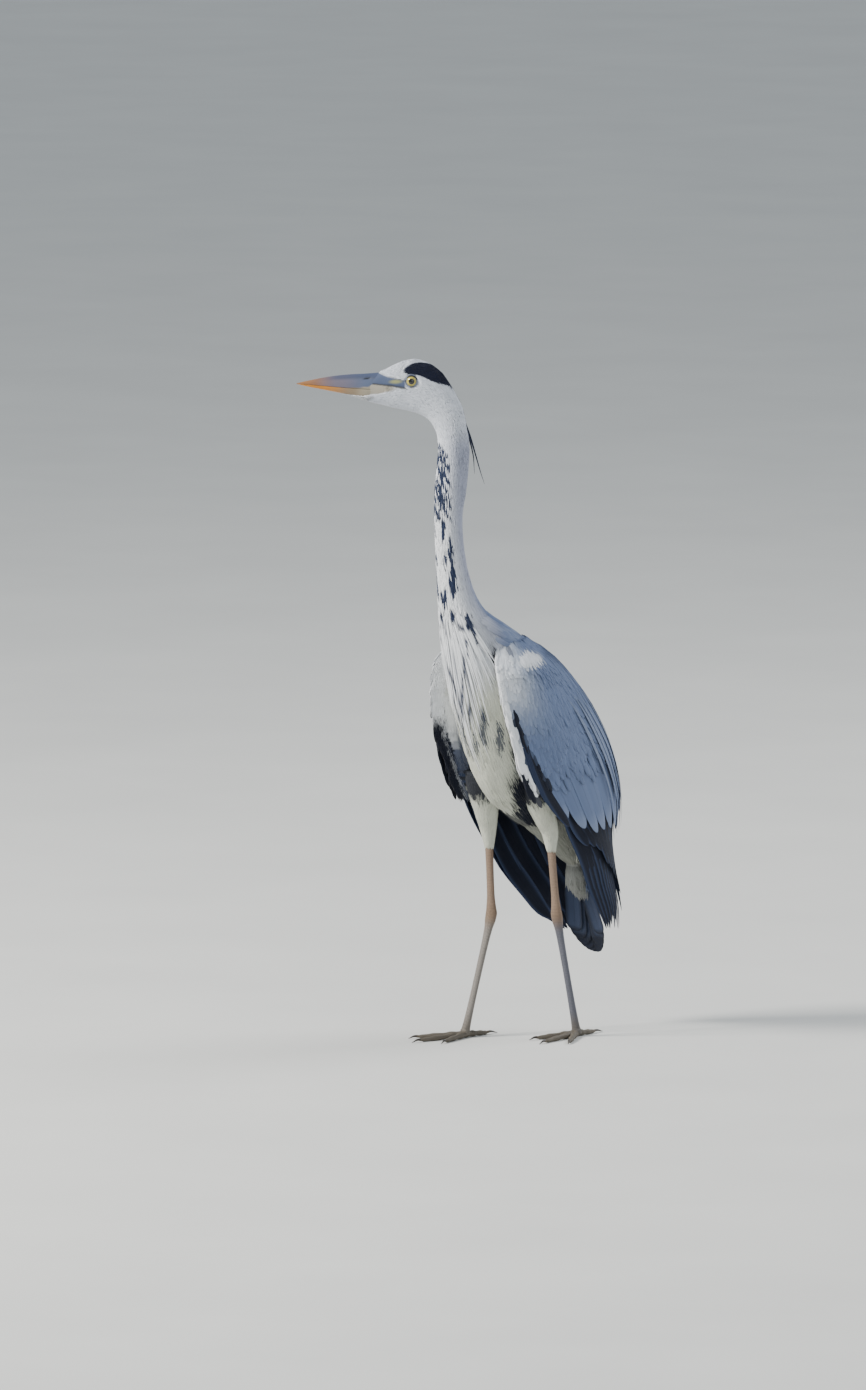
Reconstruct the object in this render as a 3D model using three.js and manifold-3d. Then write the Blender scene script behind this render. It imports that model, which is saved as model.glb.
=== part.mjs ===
// A life-size standing grey heron, as a still model on its own two feet.
// Millimetres, +Z up, the body faces -Y and its left side is +X. The head is turned to the bird's right.
// Run with the npm packages three and manifold-3d installed.
import * as THREE from "three";
import { mergeVertices } from "three/addons/utils/BufferGeometryUtils.js";
import Module from "manifold-3d";

const wasm = await Module();
wasm.setup();

// ---------------------------------------------------------------- driving sizes
const gap = 0.35; // between nodes that touch
const neckAxisY = -132; // the upright line that the head turns about
const headTurn = 45; // degrees, to the bird's right

// Profile of tail root, torso, neck and head, from back to front.
// dorsal and ventral are [forward of the neck axis, height]; half is the half width; turn is a share of headTurn.
const profile = [
  { dorsal: [-245, 243], ventral: [-229, 231], half: 14, turn: 0 },
  { dorsal: [-245, 282], ventral: [-200, 252], half: 31, turn: 0 },
  { dorsal: [-240, 328], ventral: [-160, 282], half: 44, turn: 0 },
  { dorsal: [-229, 385], ventral: [-112, 316], half: 54, turn: 0 },
  { dorsal: [-212, 440], ventral: [-70, 354], half: 60, turn: 0 },
  { dorsal: [-187, 490], ventral: [-40, 402], half: 62, turn: 0 },
  { dorsal: [-154, 530], ventral: [-20, 456], half: 61, turn: 0 },
  { dorsal: [-117, 562], ventral: [-6, 510], half: 56, turn: 0 },
  { dorsal: [-82, 583], ventral: [4, 552], half: 47, turn: 0 },
  { dorsal: [-54, 600], ventral: [13, 588], half: 36, turn: 0 },
  { dorsal: [-34, 624], ventral: [20, 618], half: 28.5, turn: 0 },
  { dorsal: [-21, 656], ventral: [25, 652], half: 23.5, turn: 0 },
  { dorsal: [-13, 696], ventral: [29, 694], half: 20.5, turn: 0.05 },
  { dorsal: [-12, 737], ventral: [30, 736], half: 20, turn: 0.2 },
  { dorsal: [-19, 778], ventral: [28, 777], half: 21, turn: 0.45 },
  { dorsal: [-22, 818], ventral: [24, 814], half: 20.5, turn: 0.75 },
  { dorsal: [-21, 843], ventral: [23, 834], half: 20, turn: 0.92 },
  { dorsal: [-17, 866], ventral: [25, 850], half: 20, turn: 1 },
  { dorsal: [-11, 888], ventral: [32, 864], half: 20, turn: 1 },
  { dorsal: [-2, 906], ventral: [42, 873], half: 19.8, turn: 1 },
  { dorsal: [8, 922], ventral: [54, 878.5], half: 19.6, turn: 1 },
  { dorsal: [20, 936.5], ventral: [66, 881.5], half: 19.4, turn: 1 },
  { dorsal: [36, 947], ventral: [77, 884], half: 18.6, turn: 1 },
  { dorsal: [53, 951.5], ventral: [88, 886.5], half: 17.4, turn: 1 },
  { dorsal: [69, 949], ventral: [99, 889.5], half: 15.4, turn: 1 },
  { dorsal: [82, 943.5], ventral: [109, 892], half: 13.4, turn: 1 },
  { dorsal: [93, 938], ventral: [118, 894.5], half: 11.4, turn: 1 },
  { dorsal: [102.5, 934], ventral: [127, 897], half: 9.8, turn: 1 },
];
const cuts = { torso: 0, neckLower: 9.1, neckMiddle: 11.6, neckUpper: 13.7, head: 15.6, end: profile.length - 1 };

// Bill: [forward, height] of the culmen, the line of the mouth and the lower edge, from base to tip.
const bill = {
  stations: [
    { culmen: [103.2, 933.6], mouth: [118.2, 911], under: [127.6, 897.2], half: 9.6 },
    { culmen: [120, 932.2], mouth: [130, 911.8], under: [137, 900.4], half: 8.8 },
    { culmen: [140, 931.2], mouth: [145.5, 912.8], under: [150, 903.8], half: 7.8 },
    { culmen: [160, 929.4], mouth: [162, 914], under: [166, 907.2], half: 6.5 },
    { culmen: [180, 926.4], mouth: [181, 915.4], under: [183, 910.6], half: 5 },
    { culmen: [200, 922.2], mouth: [200, 916.8], under: [200.6, 914], half: 3.1 },
    { culmen: [216, 918.6], mouth: [216, 918], under: [214, 917.2], half: 0.7 },
  ],
  mouthGap: 0.4,
  nostril: { forward: 119, height: 925.6, length: 11, tall: 2, deep: 2.2 },
};
const eye = { forward: 58.2, height: 923, radius: 8.6, out: 12.4, lid: 1.1, lidRing: 7.6 };

const sliver = 0.02; // detail smaller than this is an artefact of a cut
const torsoSides = 28;
const headSides = 22;

// ---------------------------------------------------------------- small maths
const lerp = (a, b, t) => a + (b - a) * t;
const clamp01 = (t) => Math.min(1, Math.max(0, t));
const smooth = (t) => {
  const c = clamp01(t);
  return c * c * (3 - 2 * c);
};
const radians = THREE.MathUtils.degToRad;

// A Catmull-Rom value through rows of numbers, at the fractional row t.
function through(rows, t) {
  const last = rows.length - 1;
  const i = Math.min(Math.max(Math.floor(t), 0), last - 1);
  const u = t - i;
  const row = (k) => rows[Math.min(Math.max(k, 0), last)];
  const [p0, p1, p2, p3] = [row(i - 1), row(i), row(i + 1), row(i + 2)];
  return p1.map((_, k) => {
    const m1 = (p2[k] - p0[k]) / 2;
    const m2 = (p3[k] - p1[k]) / 2;
    const u2 = u * u;
    const u3 = u2 * u;
    return (2 * u3 - 3 * u2 + 1) * p1[k] + (u3 - 2 * u2 + u) * m1 + (3 * u2 - 2 * u3) * p2[k] + (u3 - u2) * m2;
  });
}

function randomStream(seed) {
  let state = seed;
  return () => {
    state = (state * 1664525 + 1013904223) % 4294967296;
    return state / 4294967296;
  };
}

// ---------------------------------------------------------------- solids
function solidFrom(points, faces) {
  const geometry = new THREE.BufferGeometry();
  geometry.setAttribute("position", new THREE.Float32BufferAttribute(points.flatMap((p) => [p.x, p.y, p.z]), 3));
  geometry.setIndex(faces.flat());
  return solidOf(geometry);
}

function solidOf(geometry) {
  const bare = new THREE.BufferGeometry();
  bare.setAttribute("position", geometry.getAttribute("position"));
  bare.setIndex(geometry.index);
  const merged = mergeVertices(bare, 1e-4);
  const made = new wasm.Manifold(
    new wasm.Mesh({
      numProp: 3,
      vertProperties: merged.attributes.position.array,
      triVerts: new Uint32Array(merged.index.array),
    }),
  );
  return made.volume() < 0 ? flipped(merged) : made;
}

function flipped(merged) {
  const triVerts = new Uint32Array(merged.index.array);
  for (let i = 0; i < triVerts.length; i += 3) [triVerts[i + 1], triVerts[i + 2]] = [triVerts[i + 2], triVerts[i + 1]];
  return new wasm.Manifold(new wasm.Mesh({ numProp: 3, vertProperties: merged.attributes.position.array, triVerts }));
}

// A closed solid through rings of equally many points, each end closed by a fan.
function loft(rings) {
  const sides = rings[0].length;
  const points = rings.flat();
  const faces = [];
  for (let r = 0; r + 1 < rings.length; r++) {
    for (let s = 0; s < sides; s++) {
      const a = r * sides + s;
      const b = r * sides + ((s + 1) % sides);
      faces.push([a, b, b + sides], [a, b + sides, a + sides]);
    }
  }
  for (const [ring, turned] of [[0, true], [rings.length - 1, false]]) {
    const middle = new THREE.Vector3();
    rings[ring].forEach((p) => middle.add(p));
    points.push(middle.divideScalar(sides));
    const centre = points.length - 1;
    for (let s = 0; s < sides; s++) {
      const a = ring * sides + s;
      const b = ring * sides + ((s + 1) % sides);
      faces.push(turned ? [centre, b, a] : [centre, a, b]);
    }
  }
  return solidFrom(points, faces);
}

// A tube along points, with its half width and half height at each one; up is the side its height runs to.
function tube(path, sides, up = new THREE.Vector3(1, 0, 0)) {
  const rings = path.map((station, i) => {
    const before = path[Math.max(i - 1, 0)].at;
    const after = path[Math.min(i + 1, path.length - 1)].at;
    const along = after.clone().sub(before).normalize();
    const across = new THREE.Vector3().crossVectors(along, up).normalize();
    const rise = new THREE.Vector3().crossVectors(across, along);
    return Array.from({ length: sides }, (_, s) => {
      const angle = ((s + 0.5) / sides) * 2 * Math.PI;
      return station.at
        .clone()
        .addScaledVector(across, station.wide * Math.cos(angle))
        .addScaledVector(rise, station.tall * Math.sin(angle));
    });
  });
  return loft(rings);
}

const joined = (pieces) => wasm.Manifold.union(pieces);

function largest(solid) {
  const pieces = solid.decompose();
  return pieces.reduce((best, piece) => (piece.volume() > best.volume() ? piece : best)).simplify(sliver);
}

function geometryOf(solid) {
  const mesh = solid.getMesh();
  const positions = new Float32Array(mesh.numVert * 3);
  for (let i = 0; i < mesh.numVert; i++) {
    positions.set(mesh.vertProperties.subarray(i * mesh.numProp, i * mesh.numProp + 3), i * 3);
  }
  const geometry = new THREE.BufferGeometry();
  geometry.setAttribute("position", new THREE.BufferAttribute(positions, 3));
  geometry.setIndex(new THREE.BufferAttribute(new Uint32Array(mesh.triVerts), 1));
  geometry.computeVertexNormals();
  return geometry;
}

// ---------------------------------------------------------------- body surface
const profileRows = profile.map((s) => [...s.dorsal, ...s.ventral, s.half, s.turn * headTurn]);

// A point of the median plane of a part turned by some degrees, forward and high of the neck axis.
function inProfile(forward, height, turn, side = 0) {
  const yaw = radians(turn);
  return new THREE.Vector3(
    -Math.sin(yaw) * forward + Math.cos(yaw) * side,
    neckAxisY - Math.cos(yaw) * forward - Math.sin(yaw) * side,
    height,
  );
}

// A point on the body at station t and angle round it, 0 along the back and pi along the breast, left side first.
function bodyPoint(t, angle, out = 0) {
  const [df, dz, vf, vz, half, turn] = through(profileRows, t);
  const reach = Math.hypot(df - vf, dz - vz) / 2;
  const grow = (reach + out) / reach;
  const f = (df + vf) / 2 + ((df - vf) / 2) * grow * Math.cos(angle);
  const z = (dz + vz) / 2 + ((dz - vz) / 2) * grow * Math.cos(angle);
  return inProfile(f, z, turn, (half + out) * Math.sin(angle));
}

function bodyPart(from, to, steps, sides, out = 0) {
  return loft(
    Array.from({ length: steps + 1 }, (_, i) => {
      const t = lerp(from, to, i / steps);
      return Array.from({ length: sides }, (_, s) => bodyPoint(t, (s / sides) * 2 * Math.PI, out));
    }),
  );
}

// A flat, tapered plume through points, with its width at each one and the side that its flat face turns to.
function plume(points, widths, thick, faceTo) {
  const rings = points.map((at, i) => {
    const along = points[Math.min(i + 1, points.length - 1)].clone().sub(points[Math.max(i - 1, 0)]).normalize();
    const across = new THREE.Vector3().crossVectors(along, faceTo(i)).normalize();
    const rise = new THREE.Vector3().crossVectors(across, along);
    const w = widths[i] / 2;
    const h = (thick * (i === points.length - 1 ? 0.6 : 1)) / 2;
    return [[-w, -h], [w, -h], [w, h], [-w, h]].map(([a, b]) =>
      at.clone().addScaledVector(across, a).addScaledVector(rise, b),
    );
  });
  return loft(rings);
}

const outwardAt = (t, angle) => bodyPoint(t, angle, 5).sub(bodyPoint(t, angle, 0)).normalize();

const torsoKeepOut = bodyPart(0, 12, 36, torsoSides, gap + 0.1);

// ---------------------------------------------------------------- head
function makeHead() {
  const skull = bodyPart(cuts.head, cuts.end, 18, headSides);
  const eyePoint = (side) => inProfile(eye.forward, eye.height, headTurn, side * eye.out);
  const lidRing = (side) => {
    const ring = new THREE.TorusGeometry(eye.lidRing, eye.lid, 5, 16);
    const outward = inProfile(0, 0, headTurn, side).sub(inProfile(0, 0, headTurn, 0)).normalize();
    ring.applyQuaternion(new THREE.Quaternion().setFromUnitVectors(new THREE.Vector3(0, 0, 1), outward));
    const seat = inProfile(eye.forward, eye.height, headTurn, side * (eye.out + 4.6));
    ring.translate(seat.x, seat.y, seat.z);
    return solidOf(ring);
  };
  const socket = (side) => {
    const ball = new THREE.SphereGeometry(eye.radius + gap, 14, 10);
    const at = eyePoint(side);
    ball.translate(at.x, at.y, at.z);
    return solidOf(ball);
  };
  const gape = (side) => {
    const ends = [[66, 909.4], [90, 909.6], [118, 911.4]];
    return tube(
      ends.map(([f, z], i) => ({ at: inProfile(f, z, headTurn, side * [18.6, 15.8, 10.4][i]), wide: 1.5, tall: 0.45 })),
      4,
      new THREE.Vector3(0, 0, 1),
    );
  };
  let solid = joined([skull, lidRing(1), lidRing(-1), ...occipitalPlumes()]);
  for (const side of [1, -1]) solid = solid.subtract(socket(side)).subtract(gape(side));
  return largest(solid);
}

// The two long plumes that hang from the back of the crown.
function occipitalPlumes() {
  const plumes = [
    { side: 3.6, width: 3.4, path: [[14, 922], [0, 913], [-13, 895], [-20.5, 872], [-25.5, 845], [-31, 818], [-36.5, 797], [-42, 780]] },
    { side: -3.6, width: 3.2, path: [[14, 920], [-1, 910], [-13.6, 892], [-20.5, 869], [-24.5, 845], [-26.6, 820], [-27.6, 806], [-28.4, 793]] },
  ];
  return plumes.map(({ side, width, path }) =>
    plume(
      path.map(([f, z]) => inProfile(f, z, headTurn, side)),
      path.map((_, i) => width * [1, 1, 1, 1, 1, 0.85, 0.6, 0.25][i]),
      1.1,
      () => inProfile(-1, 0.35, headTurn).sub(inProfile(0, 0, headTurn)),
    ),
  );
}

function makeEye(side) {
  const ball = new THREE.SphereGeometry(eye.radius, 14, 10);
  const at = inProfile(eye.forward, eye.height, headTurn, side * eye.out);
  ball.translate(at.x, at.y, at.z);
  return solidOf(ball);
}

// ---------------------------------------------------------------- bill
// Half of the bill between an upper and a lower edge: full at the mouth line, rounded away from it.
function makeBill(upper) {
  const rings = bill.stations.map(({ culmen, mouth, under, half }) => {
    const gapped = [mouth[0], mouth[1] + (upper ? bill.mouthGap / 2 : -bill.mouthGap / 2)];
    const far = upper ? culmen : under;
    const sides = 10;
    return Array.from({ length: sides }, (_, s) => {
      const angle = (s / (sides - 1)) * Math.PI;
      const share = Math.pow(Math.sin(angle), 0.8);
      const wide = half * Math.sign(Math.cos(angle)) * Math.pow(Math.abs(Math.cos(angle)), 0.75);
      return inProfile(lerp(gapped[0], far[0], share), lerp(gapped[1], far[1], share), headTurn, wide);
    });
  });
  let solid = loft(rings);
  if (upper) {
    const { forward, height, length, tall, deep } = bill.nostril;
    for (const side of [1, -1]) {
      const slot = [-0.5, 0, 0.5].map((k) => ({
        at: inProfile(forward + k * length, height - k * 1.4, headTurn, side * 7.6),
        wide: deep,
        tall: tall * (k === 0 ? 0.5 : 0.3),
      }));
      solid = solid.subtract(tube(slot, 6, new THREE.Vector3(0, 0, 1)));
    }
  }
  return largest(solid);
}

// ---------------------------------------------------------------- neck and breast plumes
// Long pointed plumes that hang from the foot of the neck over the breast.
function breastPlumes() {
  const random = randomStream(11);
  const count = 15;
  const reach = { neck: 9.7, shortest: 2.6, longest: 4.4 };
  return Array.from({ length: count }, (_, k) => {
    const share = (k / (count - 1)) * 2 - 1;
    const angle = Math.PI - share * 0.86;
    const length = lerp(reach.longest, reach.shortest, Math.abs(share)) * (0.86 + 0.22 * random());
    const lift = (k % 3) * 1.5;
    const steps = 6;
    const at = (i) => reach.neck - (k % 2) * 0.25 - (i / steps) * length;
    const out = (i) => (i === 0 ? -5 : 1.8 + lift);
    const swing = angle - share * 0.12;
    const points = Array.from({ length: steps + 1 }, (_, i) => bodyPoint(at(i), lerp(angle, swing, i / steps), out(i)));
    return plume(
      points,
      [6.5, 7, 6.4, 5.6, 4.6, 3.2, 1.2],
      1.0,
      (i) => outwardAt(at(i), angle),
    );
  });
}

function makeNeckLower() {
  const torsoKeepOff = bodyPart(0, cuts.neckLower, 20, torsoSides, gap + 0.1);
  const hung = joined(breastPlumes()).subtract(torsoKeepOff);
  return largest(bodyPart(cuts.neckLower, cuts.neckMiddle - 0.012, 8, headSides).add(hung));
}

// ---------------------------------------------------------------- folded wing
// Guide lines of the folded left wing from shoulder to tip, as [side, forward, height]:
// its front edge, the fullest line of its side, the line where it turns on to the back, and its back edge.
const wingGuides = {
  edge: [
    [44, 90, 560], [62, 107, 526], [72, 103, 470], [78, 86, 408], [80, 62, 352], [79, 34, 312],
    [75, 3, 281], [69, -31, 249], [61, -66, 212], [51, -98, 174], [41, -128, 138],
  ],
  side: [
    [54, 64, 566], [76, 56, 530], [86, 38, 478], [91, 12, 428], [91, -14, 381], [88, -41, 338],
    [83, -64, 299], [75, -88, 261], [64, -110, 222], [52, -130, 181], [40, -143, 138],
  ],
  turn: [
    [41, 32, 574], [50, -10, 534], [58, -50, 490], [62, -82, 446], [62, -108, 404], [60, -127, 359],
    [56, -137, 316], [50, -140, 272], [44, -147, 232], [40, -156, 188], [37, -160, 138],
  ],
  back: [
    [21, 24, 576], [22, -22, 544], [17, -60, 502], [12, -92, 457], [9, -117, 414], [8, -135, 368],
    [9, -144, 324], [12, -148, 279], [18, -153, 237], [25, -160, 192], [33, -165, 139],
  ],
};
const wingSteps = wingGuides.edge.length - 1;

// A point of the wing's shield: along 0 at the shoulder to 1 at the tip, across 0 at the front edge to 1 at the back.
// droop lets the lower part of the front edge hang down.
function wingSkin(along, across, droop) {
  const guides = [wingGuides.edge, wingGuides.side, wingGuides.turn, wingGuides.back];
  const rows = guides.map((guide) => through(guide, along * wingSteps));
  const hang = droop * smooth((along - 0.4) / 0.3) * (1 - 0.75 * smooth((along - 0.82) / 0.18));
  rows[0][2] -= hang;
  rows[1][2] -= hang * 0.45;
  const [x, f, z] = through(rows, across * 3);
  return new THREE.Vector3(x, -f, z);
}

// The same point lifted off the shield by some distance.
function wingPoint(along, across, out, droop) {
  const step = 0.02;
  const a = clamp01(along);
  const c = clamp01(across);
  const at = (u, v) => wingSkin(clamp01(u), clamp01(v), droop);
  const dAlong = at(a + step, c).sub(at(a - step, c));
  const dAcross = at(a, c + step).sub(at(a, c - step));
  const normal = new THREE.Vector3().crossVectors(dAlong, dAcross).normalize();
  return at(a, c).addScaledVector(normal, out);
}

// How far the shield's inner layers rise to its face once the coverts over them have ended.
const layerRise = (along, across) => 6 * smooth((along - 0.53 - 0.2 * across) / 0.2) + 6 * smooth((along - 0.82) / 0.14);

// The arm of the wing: its face is the shield's own as far as the coverts' roots, and lies under them from there.
const armEnd = (across) => 0.47 + 0.1 * smooth(across * 1.3);
const armFace = { drop: 6.2, from: 0.27, over: 0.07, endThick: 26, thick: 46 };

function wingArm(droop) {
  const alongSteps = 10;
  const acrossSteps = 7;
  const rings = Array.from({ length: alongSteps + 1 }, (_, i) => {
    const share = i / alongSteps;
    const outer = [];
    const inner = [];
    for (let j = 0; j <= acrossSteps; j++) {
      const across = j / acrossSteps;
      const along = lerp(0, armEnd(across), share);
      const rim = Math.min(1, Math.min(across, 1 - across) * 6);
      const drop = armFace.drop * smooth((along - armFace.from) / armFace.over);
      const face = wingPoint(along, across, -drop - 2.4 * (1 - Math.sqrt(1 - (1 - rim) ** 2)), droop);
      const thick = lerp(armFace.thick, armFace.endThick, smooth((share - 0.4) / 0.6)) * lerp(0.7, 1, rim);
      outer.push(face);
      inner.push(towardSpine(face, thick));
    }
    return [...outer, ...inner.reverse()];
  });
  return loft(rings);
}

// A point carried inward, level, towards the body's own axis, never past the median plane.
function towardSpine(point, deep) {
  const spineY = lerp(-100, 90, clamp01((600 - point.z) / 360));
  const inward = new THREE.Vector3(-point.x, spineY - point.y, 0);
  const reach = inward.length();
  const most = Math.max(2, Math.min(deep, reach - 6));
  const moved = point.clone().addScaledVector(inward.normalize(), most);
  moved.x = Math.max(moved.x, 1.2);
  return moved;
}

// One vane laid on the shield from its root to its tip; lean lifts one of its edges over the next vane.
function wingVane({ root, tip, pitch, level, lean, thick, rises, droop }) {
  const steps = 5;
  const round = 0.78;
  const rings = Array.from({ length: steps + 1 }, (_, i) => {
    const share = [0, 0.3, 0.6, 0.8, 0.93, 1][i];
    const along = lerp(root[0], tip[0], share);
    const across = lerp(root[1], tip[1], share);
    const tail = Math.max(0, share - round) / (1 - round);
    const w = 0.74 * lerp(pitch[0], pitch[1], share) * Math.sqrt(Math.max(0.06, 1 - tail * tail));
    const n = i === 0 ? level - 3 : level + rises * layerRise(along, across);
    const face = (side, lift) => wingPoint(along, across + side * w, n + side * lean + lift, droop);
    return [face(-1, 0), face(0, 0), face(1, 0), face(1, thick), face(0, thick), face(-1, thick)];
  });
  return loft(rings);
}

// Tiers of vanes, innermost first; roots and tips are those of the tier's end vanes, as [along, across].
const wingTiers = [
  { count: 7, roots: [[0.34, 0.12], [0.38, 0.5]], tips: [[0.885, 0.08], [0.985, 0.6]], level: -15.6, rises: 1 },
  { count: 9, roots: [[0.36, 0.1], [0.42, 0.88]], tips: [[0.66, 0.075], [0.86, 0.86]], level: -10, rises: 1 },
  { count: 8, roots: [[0.24, 0.1], [0.25, 0.88]], tips: [[0.53, 0.08], [0.7, 0.87]], level: -1.6, rises: 0 },
  { count: 4, roots: [[0.1, 0.74], [0.1, 0.9]], tips: [[0.42, 0.62], [0.58, 0.88]], level: 3.2, rises: 0 },
];

function wingVanes(droop) {
  const lean = 1.6;
  const thick = 0.8;
  return wingTiers.flatMap(({ count, roots, tips, level, rises }) =>
    Array.from({ length: count }, (_, k) => {
      const share = k / (count - 1);
      return wingVane({
        root: [lerp(roots[0][0], roots[1][0], share), lerp(roots[0][1], roots[1][1], share)],
        tip: [lerp(tips[0][0], tips[1][0], share), lerp(tips[0][1], tips[1][1], share)],
        pitch: [(roots[1][1] - roots[0][1]) / (count - 1), (tips[1][1] - tips[0][1]) / (count - 1)],
        level,
        lean,
        thick,
        rises,
        droop,
      });
    }),
  );
}

function makeWing(leg, droop) {
  const solid = joined([wingArm(droop), ...wingVanes(droop)]);
  const placed = leg.sign > 0 ? solid : solid.mirror([1, 0, 0]);
  return largest(placed.subtract(joined([torsoKeepOut, tailKeepOut, thighTube(leg, gap)])));
}

// ---------------------------------------------------------------- tail
const tail = {
  root: [-238, 236], // forward of the neck axis and height, at the torso's rear face
  tip: [-281, 104],
  count: 12,
  half: 23,
  vane: 14,
  thick: 0.9,
};

// The tail's lie: a point by share of its length, its side and its height above the blade.
function tailPoint(share, side, out = 0) {
  const f = lerp(tail.root[0], tail.tip[0], share) - 9 * Math.sin(Math.PI * share) * 0.35;
  const z = lerp(tail.root[1], tail.tip[1], share);
  const along = new THREE.Vector2(tail.tip[0] - tail.root[0], tail.tip[1] - tail.root[1]).normalize();
  const arch = -0.006 * side * side;
  const lift = out + arch;
  return inProfile(f + along.y * lift, z - along.x * lift, 0, side);
}

function tailVanes() {
  return Array.from({ length: tail.count }, (_, k) => {
    const share = k / (tail.count - 1);
    const spread = share * 2 - 1;
    const outer = Math.abs(spread);
    const level = -outer * 6.2;
    const steps = 5;
    const reach = 1 - 0.035 * outer * outer;
    const rings = Array.from({ length: steps + 1 }, (_, i) => {
      const u = i / steps;
      const middle = spread * lerp(9, tail.half, u);
      const full = Math.sqrt(Math.max(0.02, 1 - Math.pow(Math.max(0, u - 0.82) / 0.18, 2)));
      const w = (tail.vane / 2) * lerp(0.55, 1, smooth(u * 2)) * full;
      const at = lerp(0.12, reach, u);
      return [[-w, 0], [w, 0], [w, tail.thick], [-w, tail.thick]].map(([a, h]) => tailPoint(at, middle + a, level + h));
    });
    return loft(rings);
  });
}

// The rump with the coverts over and under the tail's root.
function tailRoot(out = 0) {
  const rows = [
    { share: 0, half: 13.6, over: 8.6, under: 8.6 },
    { share: 0.1, half: 17, over: 8.4, under: 13 },
    { share: 0.22, half: 18, over: 6.5, under: 15.5 },
    { share: 0.36, half: 17, over: 4, under: 13.5 },
    { share: 0.5, half: 13, over: 2.2, under: 10 },
    { share: 0.58, half: 7, over: 1.4, under: 7.4 },
  ];
  return loft(
    rows.map(({ share, half, over, under }) =>
      Array.from({ length: 14 }, (_, s) => {
        const angle = (s / 14) * 2 * Math.PI;
        const rise = Math.cos(angle) > 0 ? over : under;
        return tailPoint(share, (half + out) * Math.sin(angle), (rise + out) * Math.cos(angle));
      }),
    ),
  );
}

const tailKeepOut = tailRoot(gap + 0.3);

function makeTail() {
  const rearFace = bodyPart(-0.12, 3, 12, torsoSides, gap);
  return largest(joined([tailRoot(), ...tailVanes()]).subtract(rearFace).subtract(torsoKeepOut));
}

// ---------------------------------------------------------------- legs
// Joints of each leg as [side, forward, height]; side counts outward from the median plane.
const legs = {
  left: { sign: 1, hip: [40, 22, 372], knee: [45, -9, 292], bare: [46, -12, 268], ankle: [48, -21, 172], foot: [52, -55, 13], toeTurn: 10 },
  right: { sign: -1, hip: [38, 40, 372], knee: [43, 22, 292], bare: [43.5, 19.5, 268], ankle: [44.5, 13.6, 168], foot: [50, 58, 13], toeTurn: 6 },
};
// Toes, counted from the inner one: their turn from straight ahead, length without the claw, and claw length.
const toes = [
  { name: "inner", turn: -24, length: 62, claw: 13 },
  { name: "middle", turn: 2, length: 78, claw: 15 },
  { name: "outer", turn: 27, length: 68, claw: 13 },
  { name: "hind", turn: 176, length: 40, claw: 19 },
];
const toeHeight = 3.6; // height of a toe's middle above the floor

function legPoint(leg, [side, forward, height]) {
  return new THREE.Vector3(leg.sign * side, -forward, height);
}

function between(a, b, share) {
  return a.clone().lerp(b, share);
}

function legTube(stations) {
  return tube(
    stations.map(([at, wide, tall]) => ({ at, wide, tall: tall ?? wide })),
    14,
  );
}

// A solid cut off flat at a joint; facing points to the side that is kept.
function cutAt(solid, joint, facing) {
  const normal = facing.clone().normalize();
  return solid.trimByPlane([normal.x, normal.y, normal.z], joint.dot(normal) + gap / 2);
}

// The direction that a leg's joint is cut across: halfway between the parts that meet there.
function bend(before, joint, after) {
  return before.clone().sub(joint).normalize().sub(after.clone().sub(joint).normalize());
}

function thighTube(leg, out = 0) {
  const hip = legPoint(leg, leg.hip);
  const knee = legPoint(leg, leg.knee);
  const bare = legPoint(leg, leg.bare);
  return legTube([
    [between(hip, knee, -out / 50), 20 + out, 27 + out],
    [between(hip, knee, 0.35), 18.5 + out, 24 + out],
    [between(hip, knee, 0.7), 14.5 + out, 18 + out],
    [knee, 10.5 + out, 12.5 + out],
    [bare, 6.6 + out, 7.8 + out],
  ]);
}

function makeShank(leg) {
  const bare = legPoint(leg, leg.bare);
  const ankle = legPoint(leg, leg.ankle);
  const start = between(bare, ankle, 0.008);
  const tube = legTube([
    [start, 5.4, 6],
    [between(bare, ankle, 0.4), 4.8, 5.6],
    [between(bare, ankle, 0.72), 4.9, 5.9],
    [between(bare, ankle, 0.9), 6.2, 7.4],
    [between(bare, ankle, 0.97), 7.2, 8.4],
    [between(bare, ankle, 1.04), 7, 8.1],
  ]);
  return cutAt(tube, ankle, bend(bare, ankle, legPoint(leg, leg.foot)));
}

function makeTarsus(leg) {
  const ankle = legPoint(leg, leg.ankle);
  const foot = legPoint(leg, leg.foot);
  const tube = legTube([
    [between(ankle, foot, -0.03), 6.9, 8],
    [between(ankle, foot, 0.05), 6.9, 8],
    [between(ankle, foot, 0.13), 5.2, 6.2],
    [between(ankle, foot, 0.3), 4.3, 5.2],
    [between(ankle, foot, 0.65), 4.1, 4.9],
    [between(ankle, foot, 0.9), 4.8, 5.4],
    [between(ankle, foot, 0.997), 5.6, 6],
  ]);
  return cutAt(tube, ankle, bend(legPoint(leg, leg.bare), ankle, foot).negate());
}

function toeFrame(leg, toe) {
  const turn = radians(toe.turn + leg.toeTurn);
  const ahead = new THREE.Vector3(leg.sign * Math.sin(turn), -Math.cos(turn), 0);
  const foot = legPoint(leg, leg.foot);
  return { ahead, hub: new THREE.Vector3(foot.x, foot.y, toeHeight) };
}

// A toe with its pads: it lies flat on the floor.
function makeToe(leg, toe) {
  const { ahead, hub } = toeFrame(leg, toe);
  const pads = [0, 0.2, 0.32, 0.42, 0.6, 0.7, 0.82, 1];
  const girth = [5.2, 4.3, 4.6, 3.8, 3.5, 4.0, 3.2, 2.3];
  const path = pads.map((share, i) => ({
    at: hub.clone().addScaledVector(ahead, share * toe.length).setZ(lerp(toeHeight + 1.4, toeHeight - 0.6, share)),
    wide: girth[i],
    tall: girth[i] * 0.96,
  }));
  return tube(path, 6, new THREE.Vector3(0, 0, 1));
}

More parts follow.
